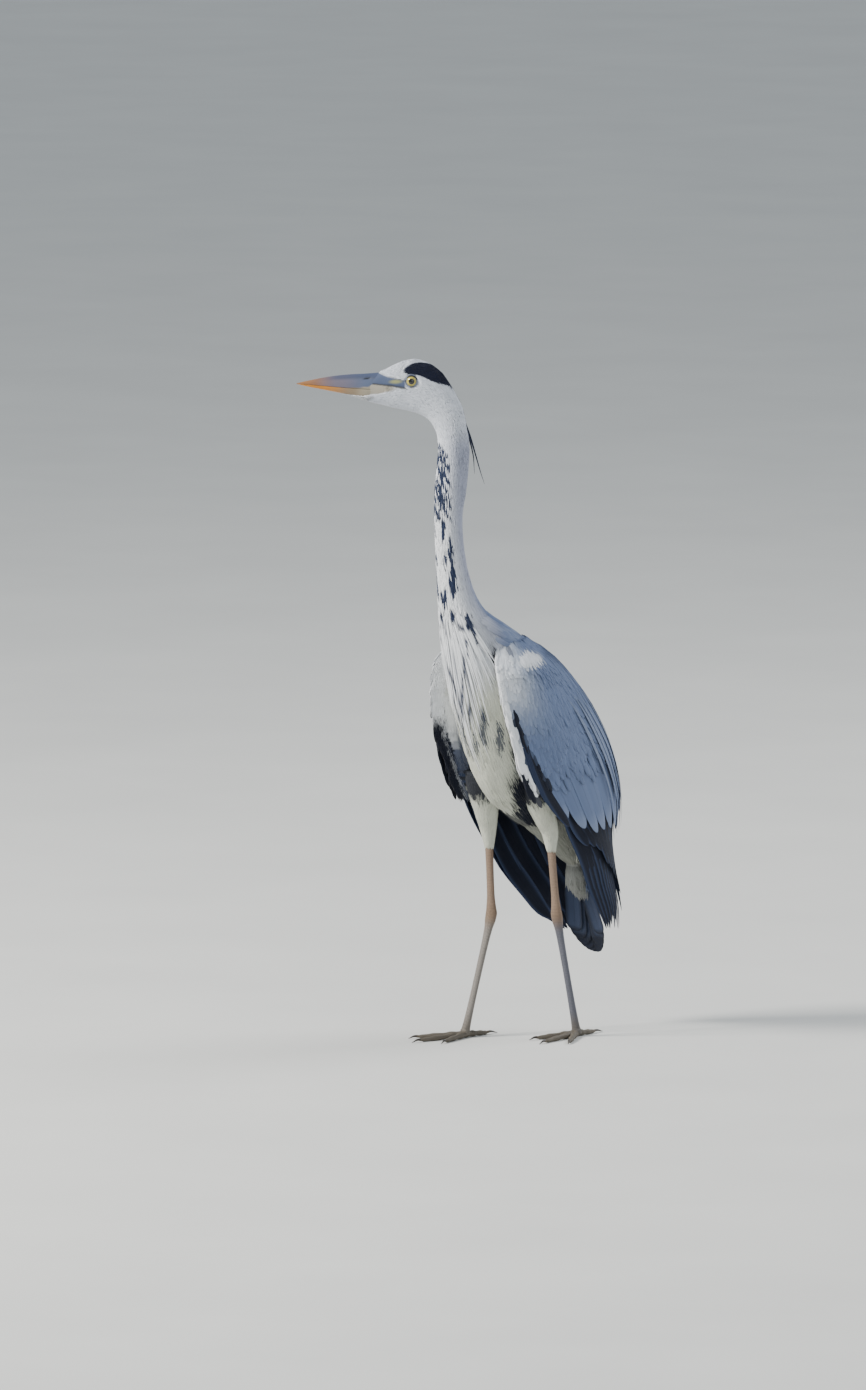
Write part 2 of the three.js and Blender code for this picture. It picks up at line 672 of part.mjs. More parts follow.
function makeFoot(leg) {
  const foot = legPoint(leg, leg.foot);
  const along = legPoint(leg, leg.ankle).sub(foot).normalize();
  const hub = legTube([
    [foot.clone(), 5.6, 6],
    [foot.clone().addScaledVector(along, -4), 6.6, 7.2],
    [foot.clone().addScaledVector(along, -9), 6.2, 6.8],
  ]);
  const floor = new THREE.BoxGeometry(400, 400, 40);
  floor.translate(foot.x, foot.y, -20);
  return largest(joined([hub, ...toes.map((toe) => makeToe(leg, toe))]).subtract(solidOf(floor)));
}

// A claw at a toe's end, curved down so that its tip is just clear of the floor.
function makeClaw(leg, toe) {
  const { ahead, hub } = toeFrame(leg, toe);
  const start = hub.clone().addScaledVector(ahead, toe.length + 0.6);
  const steps = 4;
  const path = Array.from({ length: steps + 1 }, (_, i) => {
    const u = i / steps;
    const z = toeHeight - 0.5 + 1.6 * Math.sin(Math.PI * Math.min(1, u * 1.25)) * 0.6 - 2.3 * u * u;
    return {
      at: start.clone().addScaledVector(ahead, u * toe.claw).setZ(z),
      wide: lerp(1.9, 0.35, u ** 1.3),
      tall: lerp(2.1, 0.35, u ** 1.3),
    };
  });
  const floor = new THREE.BoxGeometry(400, 400, 40);
  floor.translate(start.x, start.y, -20);
  return largest(tube(path, 5, new THREE.Vector3(0, 0, 1)).subtract(solidOf(floor)));
}

// ---------------------------------------------------------------- the model
const finishes = {
  white: { color: 0xe9e9e6, roughness: 0.85 },
  pale: { color: 0xd6d8da, roughness: 0.85 },
  grey: { color: 0x7f8a99, roughness: 0.8 },
  slate: { color: 0x2b303b, roughness: 0.75 },
  horn: { color: 0xc08a3c, roughness: 0.45 },
  iris: { color: 0xd8c34a, roughness: 0.1 },
  leg: { color: 0x9c8a63, roughness: 0.7 },
  claw: { color: 0x3a342c, roughness: 0.5 },
};

const heron = new THREE.Group();

function add(name, solid, finish) {
  const mesh = new THREE.Mesh(geometryOf(solid), new THREE.MeshStandardMaterial({ metalness: 0, ...finishes[finish] }));
  mesh.name = name;
  heron.add(mesh);
}

add("torso", bodyPart(cuts.torso, cuts.neckLower - 0.012, 20, torsoSides), "pale");
add("neck_lower", makeNeckLower(), "white");
add("neck_middle", bodyPart(cuts.neckMiddle, cuts.neckUpper - 0.012, 6, headSides), "white");
add("neck_upper", bodyPart(cuts.neckUpper, cuts.head - 0.016, 6, headSides), "white");
add("head", makeHead(), "white");
add("bill_upper", makeBill(true), "horn");
add("bill_lower", makeBill(false), "horn");
add("eye_left", makeEye(1), "iris");
add("eye_right", makeEye(-1), "iris");
add("wing_left", makeWing(legs.left, 0), "grey");
add("wing_right", makeWing(legs.right, 32), "grey");
add("tail", makeTail(), "slate");
for (const [name, leg] of Object.entries(legs)) {
  add(`thigh_${name}`, largest(thighTube(leg).subtract(torsoKeepOut)), "white");
  add(`shank_${name}`, makeShank(leg), "leg");
  add(`tarsus_${name}`, makeTarsus(leg), "leg");
  add(`foot_${name}`, makeFoot(leg), "leg");
  for (const toe of toes) add(`claw_${name}_${toe.name}`, makeClaw(leg, toe), "claw");
}

// The origin is under the middle of the whole, on the floor.
const whole = new THREE.Box3().setFromObject(heron);
heron.position.set(-(whole.min.x + whole.max.x) / 2, -(whole.min.y + whole.max.y) / 2, -whole.min.z);

export default heron;
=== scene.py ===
import math
from functools import partial, reduce
from operator import mul

import bpy
import numpy as np
from mathutils import Matrix, Vector
from mathutils.kdtree import KDTree


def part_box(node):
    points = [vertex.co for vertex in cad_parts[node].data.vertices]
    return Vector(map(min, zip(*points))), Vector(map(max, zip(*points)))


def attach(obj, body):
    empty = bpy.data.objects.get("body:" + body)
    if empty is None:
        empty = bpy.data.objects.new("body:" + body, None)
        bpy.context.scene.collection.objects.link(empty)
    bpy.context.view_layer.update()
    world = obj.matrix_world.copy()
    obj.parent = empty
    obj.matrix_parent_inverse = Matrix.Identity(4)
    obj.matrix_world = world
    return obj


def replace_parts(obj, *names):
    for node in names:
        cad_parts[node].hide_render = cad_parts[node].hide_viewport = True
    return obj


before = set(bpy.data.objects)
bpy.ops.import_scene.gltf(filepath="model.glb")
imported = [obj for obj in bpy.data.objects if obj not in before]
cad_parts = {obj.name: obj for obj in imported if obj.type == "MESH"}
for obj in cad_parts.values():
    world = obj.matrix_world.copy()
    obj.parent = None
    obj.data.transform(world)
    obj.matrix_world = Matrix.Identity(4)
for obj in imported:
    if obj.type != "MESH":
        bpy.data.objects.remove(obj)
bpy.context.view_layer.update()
print("heron: frame loaded")

# the bird's own surfaces, in millimetres: forward is -Y, its left is +X, up is +Z

neckAxisY = -132
headTurn = 45

# dorsal forward and height, ventral forward and height, half width, share of the head's turn
profile = [
    [-245, 243, -229, 231, 14, 0],
    [-245, 282, -200, 252, 31, 0],
    [-240, 328, -160, 282, 44, 0],
    [-229, 385, -112, 316, 54, 0],
    [-212, 440, -70, 354, 60, 0],
    [-187, 490, -40, 402, 62, 0],
    [-154, 530, -20, 456, 61, 0],
    [-117, 562, -6, 510, 56, 0],
    [-82, 583, 4, 552, 47, 0],
    [-54, 600, 13, 588, 36, 0],
    [-34, 624, 20, 618, 28.5, 0],
    [-21, 656, 25, 652, 23.5, 0],
    [-13, 696, 29, 694, 20.5, 0.05],
    [-12, 737, 30, 736, 20, 0.2],
    [-19, 778, 28, 777, 21, 0.45],
    [-22, 818, 24, 814, 20.5, 0.75],
    [-21, 843, 23, 834, 20, 0.92],
    [-17, 866, 25, 850, 20, 1],
    [-11, 888, 32, 864, 20, 1],
    [-2, 906, 42, 873, 19.8, 1],
    [8, 922, 54, 878.5, 19.6, 1],
    [20, 936.5, 66, 881.5, 19.4, 1],
    [36, 947, 77, 884, 18.6, 1],
    [53, 951.5, 88, 886.5, 17.4, 1],
    [69, 949, 99, 889.5, 15.4, 1],
    [82, 943.5, 109, 892, 13.4, 1],
    [93, 938, 118, 894.5, 11.4, 1],
    [102.5, 934, 127, 897, 9.8, 1],
]
profileEnd = len(profile) - 1
eyeForward, eyeHeight, eyeOut, eyeRadius = 58.2, 923, 12.4, 8.6


def fieldOf(rows, columns):
    return np.meshgrid(rows, columns, indexing="ij")


def ringAngles(count):
    return np.linspace(0, 2 * np.pi, count, endpoint=False)


def smooth(t):
    c = np.clip(t, 0, 1)
    return c * c * (3 - 2 * c)


# the share of a place that lies within several soft edges
def gate(*edges):
    return reduce(mul, map(smooth, edges))


def mix(a, b, t):
    return a + (b - a) * t


def unit(v):
    return v / np.maximum(np.linalg.norm(v, axis=-1, keepdims=True), 1e-9)


# the Catmull-Rom value at u between the middle two of four points
def between(p0, p1, p2, p3, u):
    m1, m2 = (p2 - p0) / 2, (p3 - p1) / 2
    return (
        (2 * u**3 - 3 * u**2 + 1) * p1 + (u**3 - 2 * u**2 + u) * m1
        + (3 * u**2 - 2 * u**3) * p2 + (u**3 - u**2) * m2
    )


# the same through rows of numbers, at fractional rows t
def through(rows, t):
    rows, t = np.asarray(rows, float), np.asarray(t, float)
    last = len(rows) - 1
    i = np.clip(np.floor(t).astype(int), 0, last - 1)
    return between(*(rows[np.clip(i + k, 0, last)] for k in (-1, 0, 1, 2)), (t - i)[..., None])


# a point of a plane that is turned about the neck's axis
def inProfile(forward, height, turn, side=0.0):
    yaw = np.radians(turn)
    x = -np.sin(yaw) * forward + np.cos(yaw) * side
    y = neckAxisY - np.cos(yaw) * forward - np.sin(yaw) * side
    return np.stack(np.broadcast_arrays(x, y, height), -1)


# t counts the profile's stations; angle is 0 along the back, pi along the breast, the left side first
def bodyProfile(t, angle, out=0.0):
    df, dz, vf, vz, half, turn = np.moveaxis(through(profile, t), -1, 0)
    reach = np.hypot(df - vf, dz - vz) / 2
    grow = (reach + out) / reach
    f = (df + vf) / 2 + (df - vf) / 2 * grow * np.cos(angle)
    z = (dz + vz) / 2 + (dz - vz) / 2 * grow * np.cos(angle)
    return f, z, (half + out) * np.sin(angle), turn * headTurn


def bodyPoint(t, angle, out=0.0):
    f, z, side, turn = bodyProfile(*np.broadcast_arrays(np.asarray(t, float), angle, out))
    return inProfile(f, z, turn, side)


# guide lines of the folded left wing from shoulder to tip, as [side, forward, height]
wingGuides = [
    [
        [44, 90, 560], [62, 107, 526], [72, 103, 470], [78, 86, 408], [80, 62, 352], [79, 34, 312],
        [75, 3, 281], [69, -31, 249], [61, -66, 212], [51, -98, 174], [41, -128, 138],
    ],
    [
        [54, 64, 566], [76, 56, 530], [86, 38, 478], [91, 12, 428], [91, -14, 381], [88, -41, 338],
        [83, -64, 299], [75, -88, 261], [64, -110, 222], [52, -130, 181], [40, -143, 138],
    ],
    [
        [41, 32, 574], [50, -10, 534], [58, -50, 490], [62, -82, 446], [62, -108, 404], [60, -127, 359],
        [56, -137, 316], [50, -140, 272], [44, -147, 232], [40, -156, 188], [37, -160, 138],
    ],
    [
        [21, 24, 576], [22, -22, 544], [17, -60, 502], [12, -92, 457], [9, -117, 414], [8, -135, 368],
        [9, -144, 324], [12, -148, 279], [18, -153, 237], [25, -160, 192], [33, -165, 139],
    ],
]
wingSteps = len(wingGuides[0]) - 1
shoulderSink = 8.0  # how far the wing's top sinks into the mantle


class Wing:
    # droop lowers the front edge of the hand, and front holds its flight feathers back from that edge
    def __init__(self, side, sign, droop, front):
        self.side, self.sign, self.droop, self.front = side, sign, droop, front

    def skin(self, along, across):
        along, across = np.broadcast_arrays(np.clip(along, 0, 1), np.clip(across, 0, 1))
        rows = [through(guide, along * wingSteps) for guide in wingGuides]
        hang = self.droop * smooth((along - 0.4) / 0.3) * (1 - 0.75 * smooth((along - 0.82) / 0.18))
        rows[0][..., 2] -= hang
        rows[1][..., 2] -= hang * 0.45
        for row, sink in zip(rows, (0, 0.4, 1, 1)):
            row[..., 2] -= shoulderSink * sink * smooth((0.16 - along) / 0.16)
        c = across * 3
        i = np.clip(np.floor(c).astype(int), 0, 2)
        rows = np.stack(rows)
        near = (np.take_along_axis(rows, np.clip(i + k, 0, 3)[None, ..., None], 0)[0] for k in (-1, 0, 1, 2))
        side, forward, height = np.moveaxis(between(*near, (c - i)[..., None]), -1, 0)
        return np.stack([self.sign * side, -forward, height], -1)

    def frame(self, along, across):
        step = 0.02
        dAlong = self.skin(along + step, across) - self.skin(along - step, across)
        dAcross = self.skin(along, across + step) - self.skin(along, across - step)
        outward = unit(np.cross(dAlong, dAcross)) * self.sign
        return self.skin(along, across), outward, unit(dAlong)

    def point(self, along, across, out=0.0):
        at, outward, _ = self.frame(along, across)
        return at + outward * np.asarray(out)[..., None]

    # a place on the bake map
    def chart(self, along, across):
        return np.stack([(0.64 if self.sign > 0 else 0.82) + 0.16 * across, 0.42 + 0.55 * along], -1)


wings = [Wing("Left", 1, 0.0, 0.14), Wing("Right", -1, 32.0, 0.0)]
tailRoot, tailTip = np.array([-238, 236]), np.array([-281, 104])


def tailPoint(share, side, out=0.0):
    share, side, out = np.broadcast_arrays(np.asarray(share, float), side, out)
    f = mix(tailRoot[0], tailTip[0], share) - 3.15 * np.sin(np.pi * share)
    z = mix(tailRoot[1], tailTip[1], share)
    along = unit(tailTip - tailRoot)
    lift = out - 0.006 * side * side
    return inProfile(f + along[1] * lift, z - along[0] * lift, 0, side)


# joints of each leg as [side, forward, height]; side counts outward
legs = {
    "left": {"sign": 1, "hip": [40, 22, 372], "knee": [45, -9, 292], "bare": [46, -12, 268],
             "ankle": [48, -21, 172], "foot": [52, -55, 13], "toeTurn": 10, "thighDark": 0.235},
    "right": {"sign": -1, "hip": [38, 40, 372], "knee": [43, 22, 292], "bare": [43.5, 19.5, 268],
              "ankle": [44.5, 13.6, 168], "foot": [50, 58, 13], "toeTurn": 6, "thighDark": 0.245},
}
toes = [
    {"name": "inner", "turn": -24, "length": 62, "claw": 13},
    {"name": "middle", "turn": 2, "length": 78, "claw": 15},
    {"name": "outer", "turn": 27, "length": 68, "claw": 13},
    {"name": "hind", "turn": 176, "length": 40, "claw": 19},
]
toeHeight = 3.6


def legPoint(leg, joint):
    side, forward, height = leg[joint]
    return np.array([leg["sign"] * side, -forward, height], float)


# the frame's origin is under the middle of the whole model, so the left eye tells how far that is
eyeLow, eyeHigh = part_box("eye_left")
eyeModelled = inProfile(eyeForward, eyeHeight, headTurn, eyeOut)
shift = (np.array(eyeLow) + np.array(eyeHigh)) / 2 - eyeModelled / 1000
shift[2] = 0


def metres(points):
    return np.asarray(points) / 1000 + shift


# meshes from arrays


def linked(name, data):
    piece = bpy.data.objects.new(name, data)
    bpy.context.scene.collection.objects.link(piece)
    return piece


def meshObject(name, points, faces):
    mesh = bpy.data.meshes.new(name)
    mesh.from_pydata([tuple(p) for p in points], [], [tuple(f) for f in faces])
    mesh.validate()
    mesh.shade_smooth()
    return linked(name, mesh)


# a skin over a grid of rows by columns, closed round its columns, and capped unless its rows close too
def gridObject(name, grid, colours=None, flip=False, torus=False):
    rows, columns = grid.shape[:2]
    count = rows * columns
    faces = []
    for r in range(rows if torus else rows - 1):
        for c in range(columns):
            a, b = r * columns + c, r * columns + (c + 1) % columns
            faces.append((a, b, (b + columns) % count, (a + columns) % count))
    if not torus:
        faces += [tuple(range(columns - 1, -1, -1)), tuple(range(count - columns, count))]
    piece = meshObject(name, metres(grid.reshape(-1, 3)), [f[::-1] for f in faces] if flip else faces)
    if colours is not None:
        setColours(piece, colours.reshape(-1, 3))
    return piece


def setColours(piece, colours):
    layer = piece.data.color_attributes.new("plumage", "FLOAT_COLOR", "POINT")
    layer.data.foreach_set("color", np.c_[colours, np.ones(len(colours))].ravel())


def dressed(piece, material):
    piece.data.materials.clear()
    piece.data.materials.append(material)
    return piece


def joinPieces(name, pieces):
    bpy.ops.object.select_all(action="DESELECT")
    for piece in pieces:
        piece.select_set(True)
    bpy.context.view_layer.objects.active = pieces[0]
    bpy.ops.object.join()
    pieces[0].name = pieces[0].data.name = name
    return pieces[0]


# node trees


# a node's output; arithmetic with it adds nodes to its graph
class Wire:
    def __init__(self, graph, socket):
        self.graph, self.socket = graph, socket

    def maths(self, operation, *values):
        return self.graph.node("ShaderNodeMath", {"operation": operation}, values)

    def __abs__(self):
        return self.maths("ABSOLUTE", self)

    def sine(self):
        return self.maths("SINE", self)

    def ramp(self, low, high, outLow=0.0, outHigh=1.0):
        values = (self, low, high, outLow, outHigh)
        return self.graph.node("ShaderNodeMapRange", {"interpolation_type": "SMOOTHSTEP"}, values)


for sign, operation in (("add", "ADD"), ("sub", "SUBTRACT"), ("mul", "MULTIPLY")):
    setattr(Wire, f"__{sign}__", lambda self, other, way=operation: self.maths(way, self, other))
    setattr(Wire, f"__r{sign}__", lambda self, other, way=operation: self.maths(way, other, self))


class Graph:
    # makes a node from its type, its settings and the values or links of its sockets, by place or name
    def node(self, kind, settings={}, values=(), output=0):
        made = self.tree.nodes.new(kind)
        for key, value in settings.items():
            setattr(made, key, value)
        for key, value in values.items() if isinstance(values, dict) else enumerate(values):
            self.plug(self.pick(made.inputs, key), value)
        return Wire(self, self.pick(made.outputs, output))

    # the socket of that name or place among those in use
    def pick(self, sockets, key):
        live = [socket for socket in sockets if socket.enabled]
        return next(socket for socket in live if socket.name == key) if isinstance(key, str) else live[key]

    def plug(self, socket, value):
        for one in value if isinstance(value, list) else [value]:
            if isinstance(one, Wire):
                self.tree.links.new(one.socket, socket)
            else:
                socket.default_value = one

    def axes(self, vector):
        made = self.node("ShaderNodeSeparateXYZ", {}, [vector]).socket.node
        return [Wire(self, out) for out in made.outputs]


class Shader(Graph):
    def __init__(self, name, **uniform):
        self.material = bpy.data.materials.new(name)
        self.material.use_nodes = True
        self.tree = self.material.node_tree
        self.surface = self.tree.nodes["Principled BSDF"]
        for socket, value in uniform.items():
            self.set(socket.replace("_", " "), value)

    def set(self, socket, value):
        self.plug(self.surface.inputs[socket], value)

    def place(self):
        return self.node("ShaderNodeTexCoord", {}, {}, "Object")

    def attribute(self, name, output="Color"):
        return self.node("ShaderNodeAttribute", {"attribute_name": name}, {}, output)

    def noise(self, vector, scale, detail=3.0, roughness=0.5):
        values = {"Vector": vector, "Scale": scale, "Detail": detail, "Roughness": roughness}
        return self.node("ShaderNodeTexNoise", {}, values)

    def blend(self, factor, a, b, kind="MIX"):
        a, b = ((*colour, 1) if isinstance(colour, tuple) else colour for colour in (a, b))
        return self.node("ShaderNodeMix", {"data_type": "RGBA", "blend_type": kind}, (factor, a, b))

    # a colour, made lighter or darker
    def paintWith(self, base, light):
        grey = self.node("ShaderNodeCombineColor", {}, (light, light, light))
        self.set("Base Color", self.blend(1.0, base, grey, "MULTIPLY"))

    def bump(self, height, strength, distance):
        values = {"Strength": strength, "Distance": distance, "Height": height}
        self.set("Normal", self.node("ShaderNodeBump", {}, values))


# sRGB 0-255 to the linear colour that Blender uses
def tint(red, green, blue):
    return tuple((c / 255) ** 2.2 for c in (red, green, blue))


# materials


featherFinish = {
    "shaftDark": 0.82, "edgeLight": 0.10, "tipLight": 0.05, "hueSpread": 0.16,
    "barbs": 46.0, "barbSlant": 9.0, "roughness": 0.78, "barbBump": 0.35,
}


# a feather reads its root's colour and adds its own shaft, edges and barbs
def featherMaterial(name, shaft=1.0, edge=1.0, barbScale=1.0, gloss=0.0, sheen=0.06, rim=None):
    s = Shader(name, Sheen_Weight=sheen, Sheen_Roughness=0.5, Specular_IOR_Level=0.22)
    look = featherFinish
    side, along, _ = s.axes(s.node("ShaderNodeUVMap", {"uv_map": "featherUV"}))
    across = abs(side - 0.5) * 2.0
    barb = ((along * look["barbs"] - across * look["barbSlant"]) * (barbScale * 6.2832)).sine()
    clump = s.noise(s.place(), 420.0, 2.0)
    shaftLine = across.ramp(0.0, 0.10, 1.0, 0.0) * along.ramp(0.75, 1.0, 1.0, 0.2)
    border = across.ramp(0.66, 1.0) * (look["edgeLight"] * edge)
    border = border + along.ramp(0.8, 1.0) * (look["tipLight"] * edge)
    light = (s.attribute("hue", "Fac") - 0.5) * look["hueSpread"] + 1.0 + border + barb * 0.025
    light = light + (clump - 0.5) * 0.10 - shaftLine * ((1 - look["shaftDark"]) * shaft)
    base = s.attribute("plumage")
    s.paintWith(s.blend(across.ramp(0.45, 1.0) * 0.7, base, rim) if rim else base, light)
    s.set("Roughness", (clump - 0.5) * 0.2 + (look["roughness"] - gloss))
    s.bump(barb * 0.4 + shaftLine * (0.9 * shaft) + clump * 0.6, look["barbBump"], 0.0004)
    return s.material


def skinMaterial():
    s = Shader("featheredSkin", Sheen_Weight=0.06, Specular_IOR_Level=0.2)
    down = s.noise(s.place(), 520.0, 4.0, 0.6)
    s.paintWith(s.attribute("plumage"), (down - 0.5) * 0.16 + 0.95)
    s.set("Roughness", (down - 0.5) * 0.2 + 0.85)
    s.bump(down, 0.5, 0.001)
    return s.material


# horn, scale and claw share one way of making: a painted ground with streaks, mottling and a fine bump
def groundMaterial(name, roughness, streak, mottle, bump, coat, stretch=1.0, cells=0.0):
    s = Shader(name, Coat_Roughness=0.25, Specular_IOR_Level=0.45, Coat_Weight=coat)
    place = s.node("ShaderNodeMapping", {}, {"Vector": s.place(), "Scale": (1.0, 1.0, stretch)})
    fine, broad = s.noise(place, 900.0, 4.0, 0.6), s.noise(place, 90.0)
    light = (fine - 0.5) * streak + (broad - 0.5) * mottle + 1.0
    height = fine * 0.5
    if cells:
        settings, values = {"feature": "DISTANCE_TO_EDGE"}, {"Vector": place, "Scale": cells}
        edge = s.node("ShaderNodeTexVoronoi", settings, values).ramp(0.0, 0.12)
        light = light * (edge * 0.22 + 0.80)
        height = height * 0.3 + edge
    s.paintWith(s.attribute("plumage"), light)
    s.set("Roughness", (broad - 0.5) * 0.15 + roughness)
    s.bump(height, bump, 0.0005)
    return s.material


class Tree(Graph):
    def __init__(self, name):
        self.tree = bpy.data.node_groups.new(name, "GeometryNodeTree")
        self.entry = self.tree.nodes.new("NodeGroupInput")
        self.exit = self.tree.nodes.new("NodeGroupOutput")
        self.geometry = self.input("Geometry", "NodeSocketGeometry")
        self.tree.interface.new_socket("Geometry", in_out="OUTPUT", socket_type="NodeSocketGeometry")

    def input(self, name, kind):
        self.tree.interface.new_socket(name, in_out="INPUT", socket_type=kind)
        return Wire(self, self.entry.outputs[name])

    def named(self, name, kind="FLOAT_VECTOR"):
        return self.node("GeometryNodeInputNamedAttribute", {"data_type": kind}, {"Name": name})

    def vector(self, operation, *values):
        return self.node("ShaderNodeVectorMath", {"operation": operation}, values)

    def joined(self, *axes):
        return self.node("ShaderNodeCombineXYZ", {}, axes)

    def random(self, low, high, seed, kind="FLOAT"):
        values = {"Min": low, "Max": high, "Seed": seed}
        return self.node("FunctionNodeRandomValue", {"data_type": kind}, values)

    def store(self, geometry, name, value, kind, domain="POINT"):
        values = {"Geometry": geometry, "Name": name, "Value": value}
        return self.node("GeometryNodeStoreNamedAttribute", {"data_type": kind, "domain": domain}, values)

    def drop(self, geometry, *names):
        for name in names:
            geometry = self.node("GeometryNodeRemoveAttribute", {}, {"Geometry": geometry, "Name": name})
        return geometry

    # writes the bake map, sets the material and ends the tree
    def finish(self, geometry, material, patch=0.003):
        geometry = self.node("GeometryNodeRealizeInstances", {}, [geometry])
        own = self.vector("SUBTRACT", self.named("featherUV"), (0.5, 0.5, 0.0))
        root = self.vector("ADD", self.named("rootUv"), self.vector("MULTIPLY", own, (patch, patch, 0.0)))
        geometry = self.store(geometry, "OFBake", root, "FLOAT2", "CORNER")
        geometry = self.drop(geometry, "rootUv", "outward", "lie", "size", "half")
        values = {"Geometry": geometry, "Material": material}
        self.plug(self.exit.inputs[0], self.node("GeometryNodeSetMaterial", {}, values))
        return self.tree


# sets one feather on each point of the piece, turned to its lie
def coatTree():
    g = Tree("coat")
    shapes = [g.input(f"Shape {k}", "NodeSocketObject") for k in range(3)]
    material = g.input("Material", "NodeSocketMaterial")
    lift, scatter = (g.input(name, "NodeSocketFloat") for name in ("Lift", "Scatter"))
    seed = g.input("Seed", "NodeSocketInt")
    feathers = [g.node("GeometryNodeObjectInfo", {}, [shape], "Geometry") for shape in shapes]
    feathers = [g.node("GeometryNodeGeometryToInstance", {}, [feather]) for feather in feathers]
    axes = {"primary_axis": "Z", "secondary_axis": "Y"}
    base = g.node("FunctionNodeAxesToRotation", axes, [g.named("outward"), g.named("lie")])
    swing = g.random((-0.2, -0.5, -1.0), (0.2, 0.5, 1.0), seed, "FLOAT_VECTOR")
    turn = g.vector("ADD", g.vector("SCALE", swing, scatter), g.joined(lift))
    turn = g.node("FunctionNodeEulerToRotation", {}, [turn])
    vary = g.random((0.85, 0.86, 0.9), (1.15, 1.14, 1.1), seed + 7.0, "FLOAT_VECTOR")
    placed = g.node("GeometryNodeInstanceOnPoints", {}, {
        "Points": g.geometry,
        "Instance": g.node("GeometryNodeJoinGeometry", {}, [feathers]),
        "Pick Instance": True,
        "Instance Index": g.random(0, 2, seed + 3.0, "INT"),
        "Rotation": g.node("FunctionNodeRotateRotation", {"rotation_space": "LOCAL"}, [base, turn]),
        "Scale": g.vector("MULTIPLY", g.named("size"), vary),
    })
    placed = g.store(placed, "hue", g.random(0.0, 1.0, seed + 11.0), "FLOAT", "INSTANCE")
    return g.finish(placed, material)


# draws a thin cambered vane with its shaft along each line of the piece
def vaneTree():
    g = Tree("vane")
    material = g.input("Material", "NodeSocketMaterial")
    camber, thick, shaftSize = (g.input(name, "NodeSocketFloat") for name in ("Camber", "Thickness", "Shaft"))
    line = g.node("GeometryNodeMeshToCurve", {}, {"Mesh": g.geometry})
    values = {"Curve": line, "Normal": g.named("outward")}
    line = g.node("GeometryNodeSetCurveNormal", {"mode": "FREE"}, values)
    line = g.store(line, "hue", g.random(0.0, 1.0, g.input("Seed", "NodeSocketInt")), "FLOAT", "CURVE")

    def circle(resolution):
        values = {"Resolution": resolution, "Radius": 1.0}
        return g.node("GeometryNodeCurvePrimitiveCircle", {}, values, "Curve")

    def swept(ring, scale):
        values = {"Curve": line, "Profile Curve": ring, "Scale": scale, "Fill Caps": True}
        return g.node("GeometryNodeCurveToMesh", {}, values)

    x, y, _ = g.axes(g.node("GeometryNodeInputPosition"))
    flat = g.joined(x * thick - y * y * camber, y)
    ring = g.store(circle(12), "spread", y * 0.5 + 0.5, "FLOAT")
    ring = g.node("GeometryNodeSetPosition", {}, {"Geometry": ring, "Position": flat})
    blade = swept(ring, g.named("half", "FLOAT"))
    shaft = swept(g.store(circle(5), "spread", 0.5, "FLOAT"), shaftSize * (1.05 - g.named("along", "FLOAT")))
    both = g.node("GeometryNodeJoinGeometry", {}, [[blade, shaft]])
    own = g.joined(g.named("spread", "FLOAT"), g.named("along", "FLOAT"))
    both = g.drop(g.store(both, "featherUV", own, "FLOAT2", "CORNER"), "spread", "along")
    return g.finish(g.node("GeometryNodeSetShadeSmooth", {}, {"Geometry": both}), material)


trees = {"coat": coatTree(), "vane": vaneTree()}


# runs a tree on a piece and keeps the plain mesh that comes out
def grown(piece, kind, **inputs):
    modifier = piece.modifiers.new(kind, "NODES")
    modifier.node_group = trees[kind]
    for item in trees[kind].interface.items_tree:
        key = item.name.replace(" ", "")
        if item.in_out == "INPUT" and key in inputs:
            modifier[item.identifier] = inputs[key]
    bpy.context.view_layer.update()
    evaluated = piece.evaluated_get(bpy.context.evaluated_depsgraph_get())
    mesh = bpy.data.meshes.new_from_object(evaluated)
    name = piece.name
    bpy.data.objects.remove(piece)
    made = linked(name, mesh)
    mesh.name = made.name
    dressed(made, inputs["Material"])
    mesh.polygons.foreach_set("material_index", np.zeros(len(mesh.polygons), int))
    for layer in mesh.uv_layers:
        layer.active_render = layer.name == "OFBake"
    return made


# how an attribute is kept, by the numbers at each point: its type and the name of its values
attributeKinds = {1: ("FLOAT", "value"), 3: ("FLOAT_VECTOR", "vector"), 4: ("FLOAT_COLOR", "color")}


def setAttribute(mesh, name, values):
    values = np.asarray(values, float)
    if name == "plumage":
        values = np.c_[values, np.ones(len(values))]
    kind, key = attributeKinds[1 if values.ndim == 1 else values.shape[1]]
    mesh.attributes.new(name, kind, "POINT").data.foreach_set(key, values.ravel())


# points that carry what a tree reads: attributes as name to array, three numbers each or one
def pointPiece(name, points, attributes, edges=()):
    mesh = bpy.data.meshes.new(name)
    mesh.from_pydata([tuple(p) for p in points], [tuple(e) for e in edges], [])
    for key, values in attributes.items():
        setAttribute(mesh, key, values)
    return linked(name, mesh)


# single feathers, one unit long and wide, that the coat repeats

featherForms = {
    "contour": {"at": [0, 0.25, 0.5, 0.75, 0.9], "wide": [0.4, 0.85, 1, 0.9, 0.62],
                "tip": [0.93, 0.985, 1, 0.97, 0.94], "tipWide": 0.34, "bow": 0.03, "camber": 0.06},
    "lancet": {"at": [0, 0.3, 0.6, 0.84], "wide": [0.45, 1, 0.85, 0.5],
               "tip": [0.9, 1, 0.93], "tipWide": 0.2, "bow": 0.035, "camber": 0.10},
    "tiny": {"at": [0, 0.45, 0.8], "wide": [0.5, 1, 0.66],
             "tip": [0.92, 1, 0.94], "tipWide": 0.24, "bow": 0.04, "camber": 0.10},
    "wisp": {"at": [0, 0.4, 0.75, 1], "wide": [0.34, 0.4, 0.28, 0.05],
             "blades": [[-0.3, 0.86], [0.02, 1], [0.3, 0.92]], "bow": 0.03, "camber": 0.3},
}


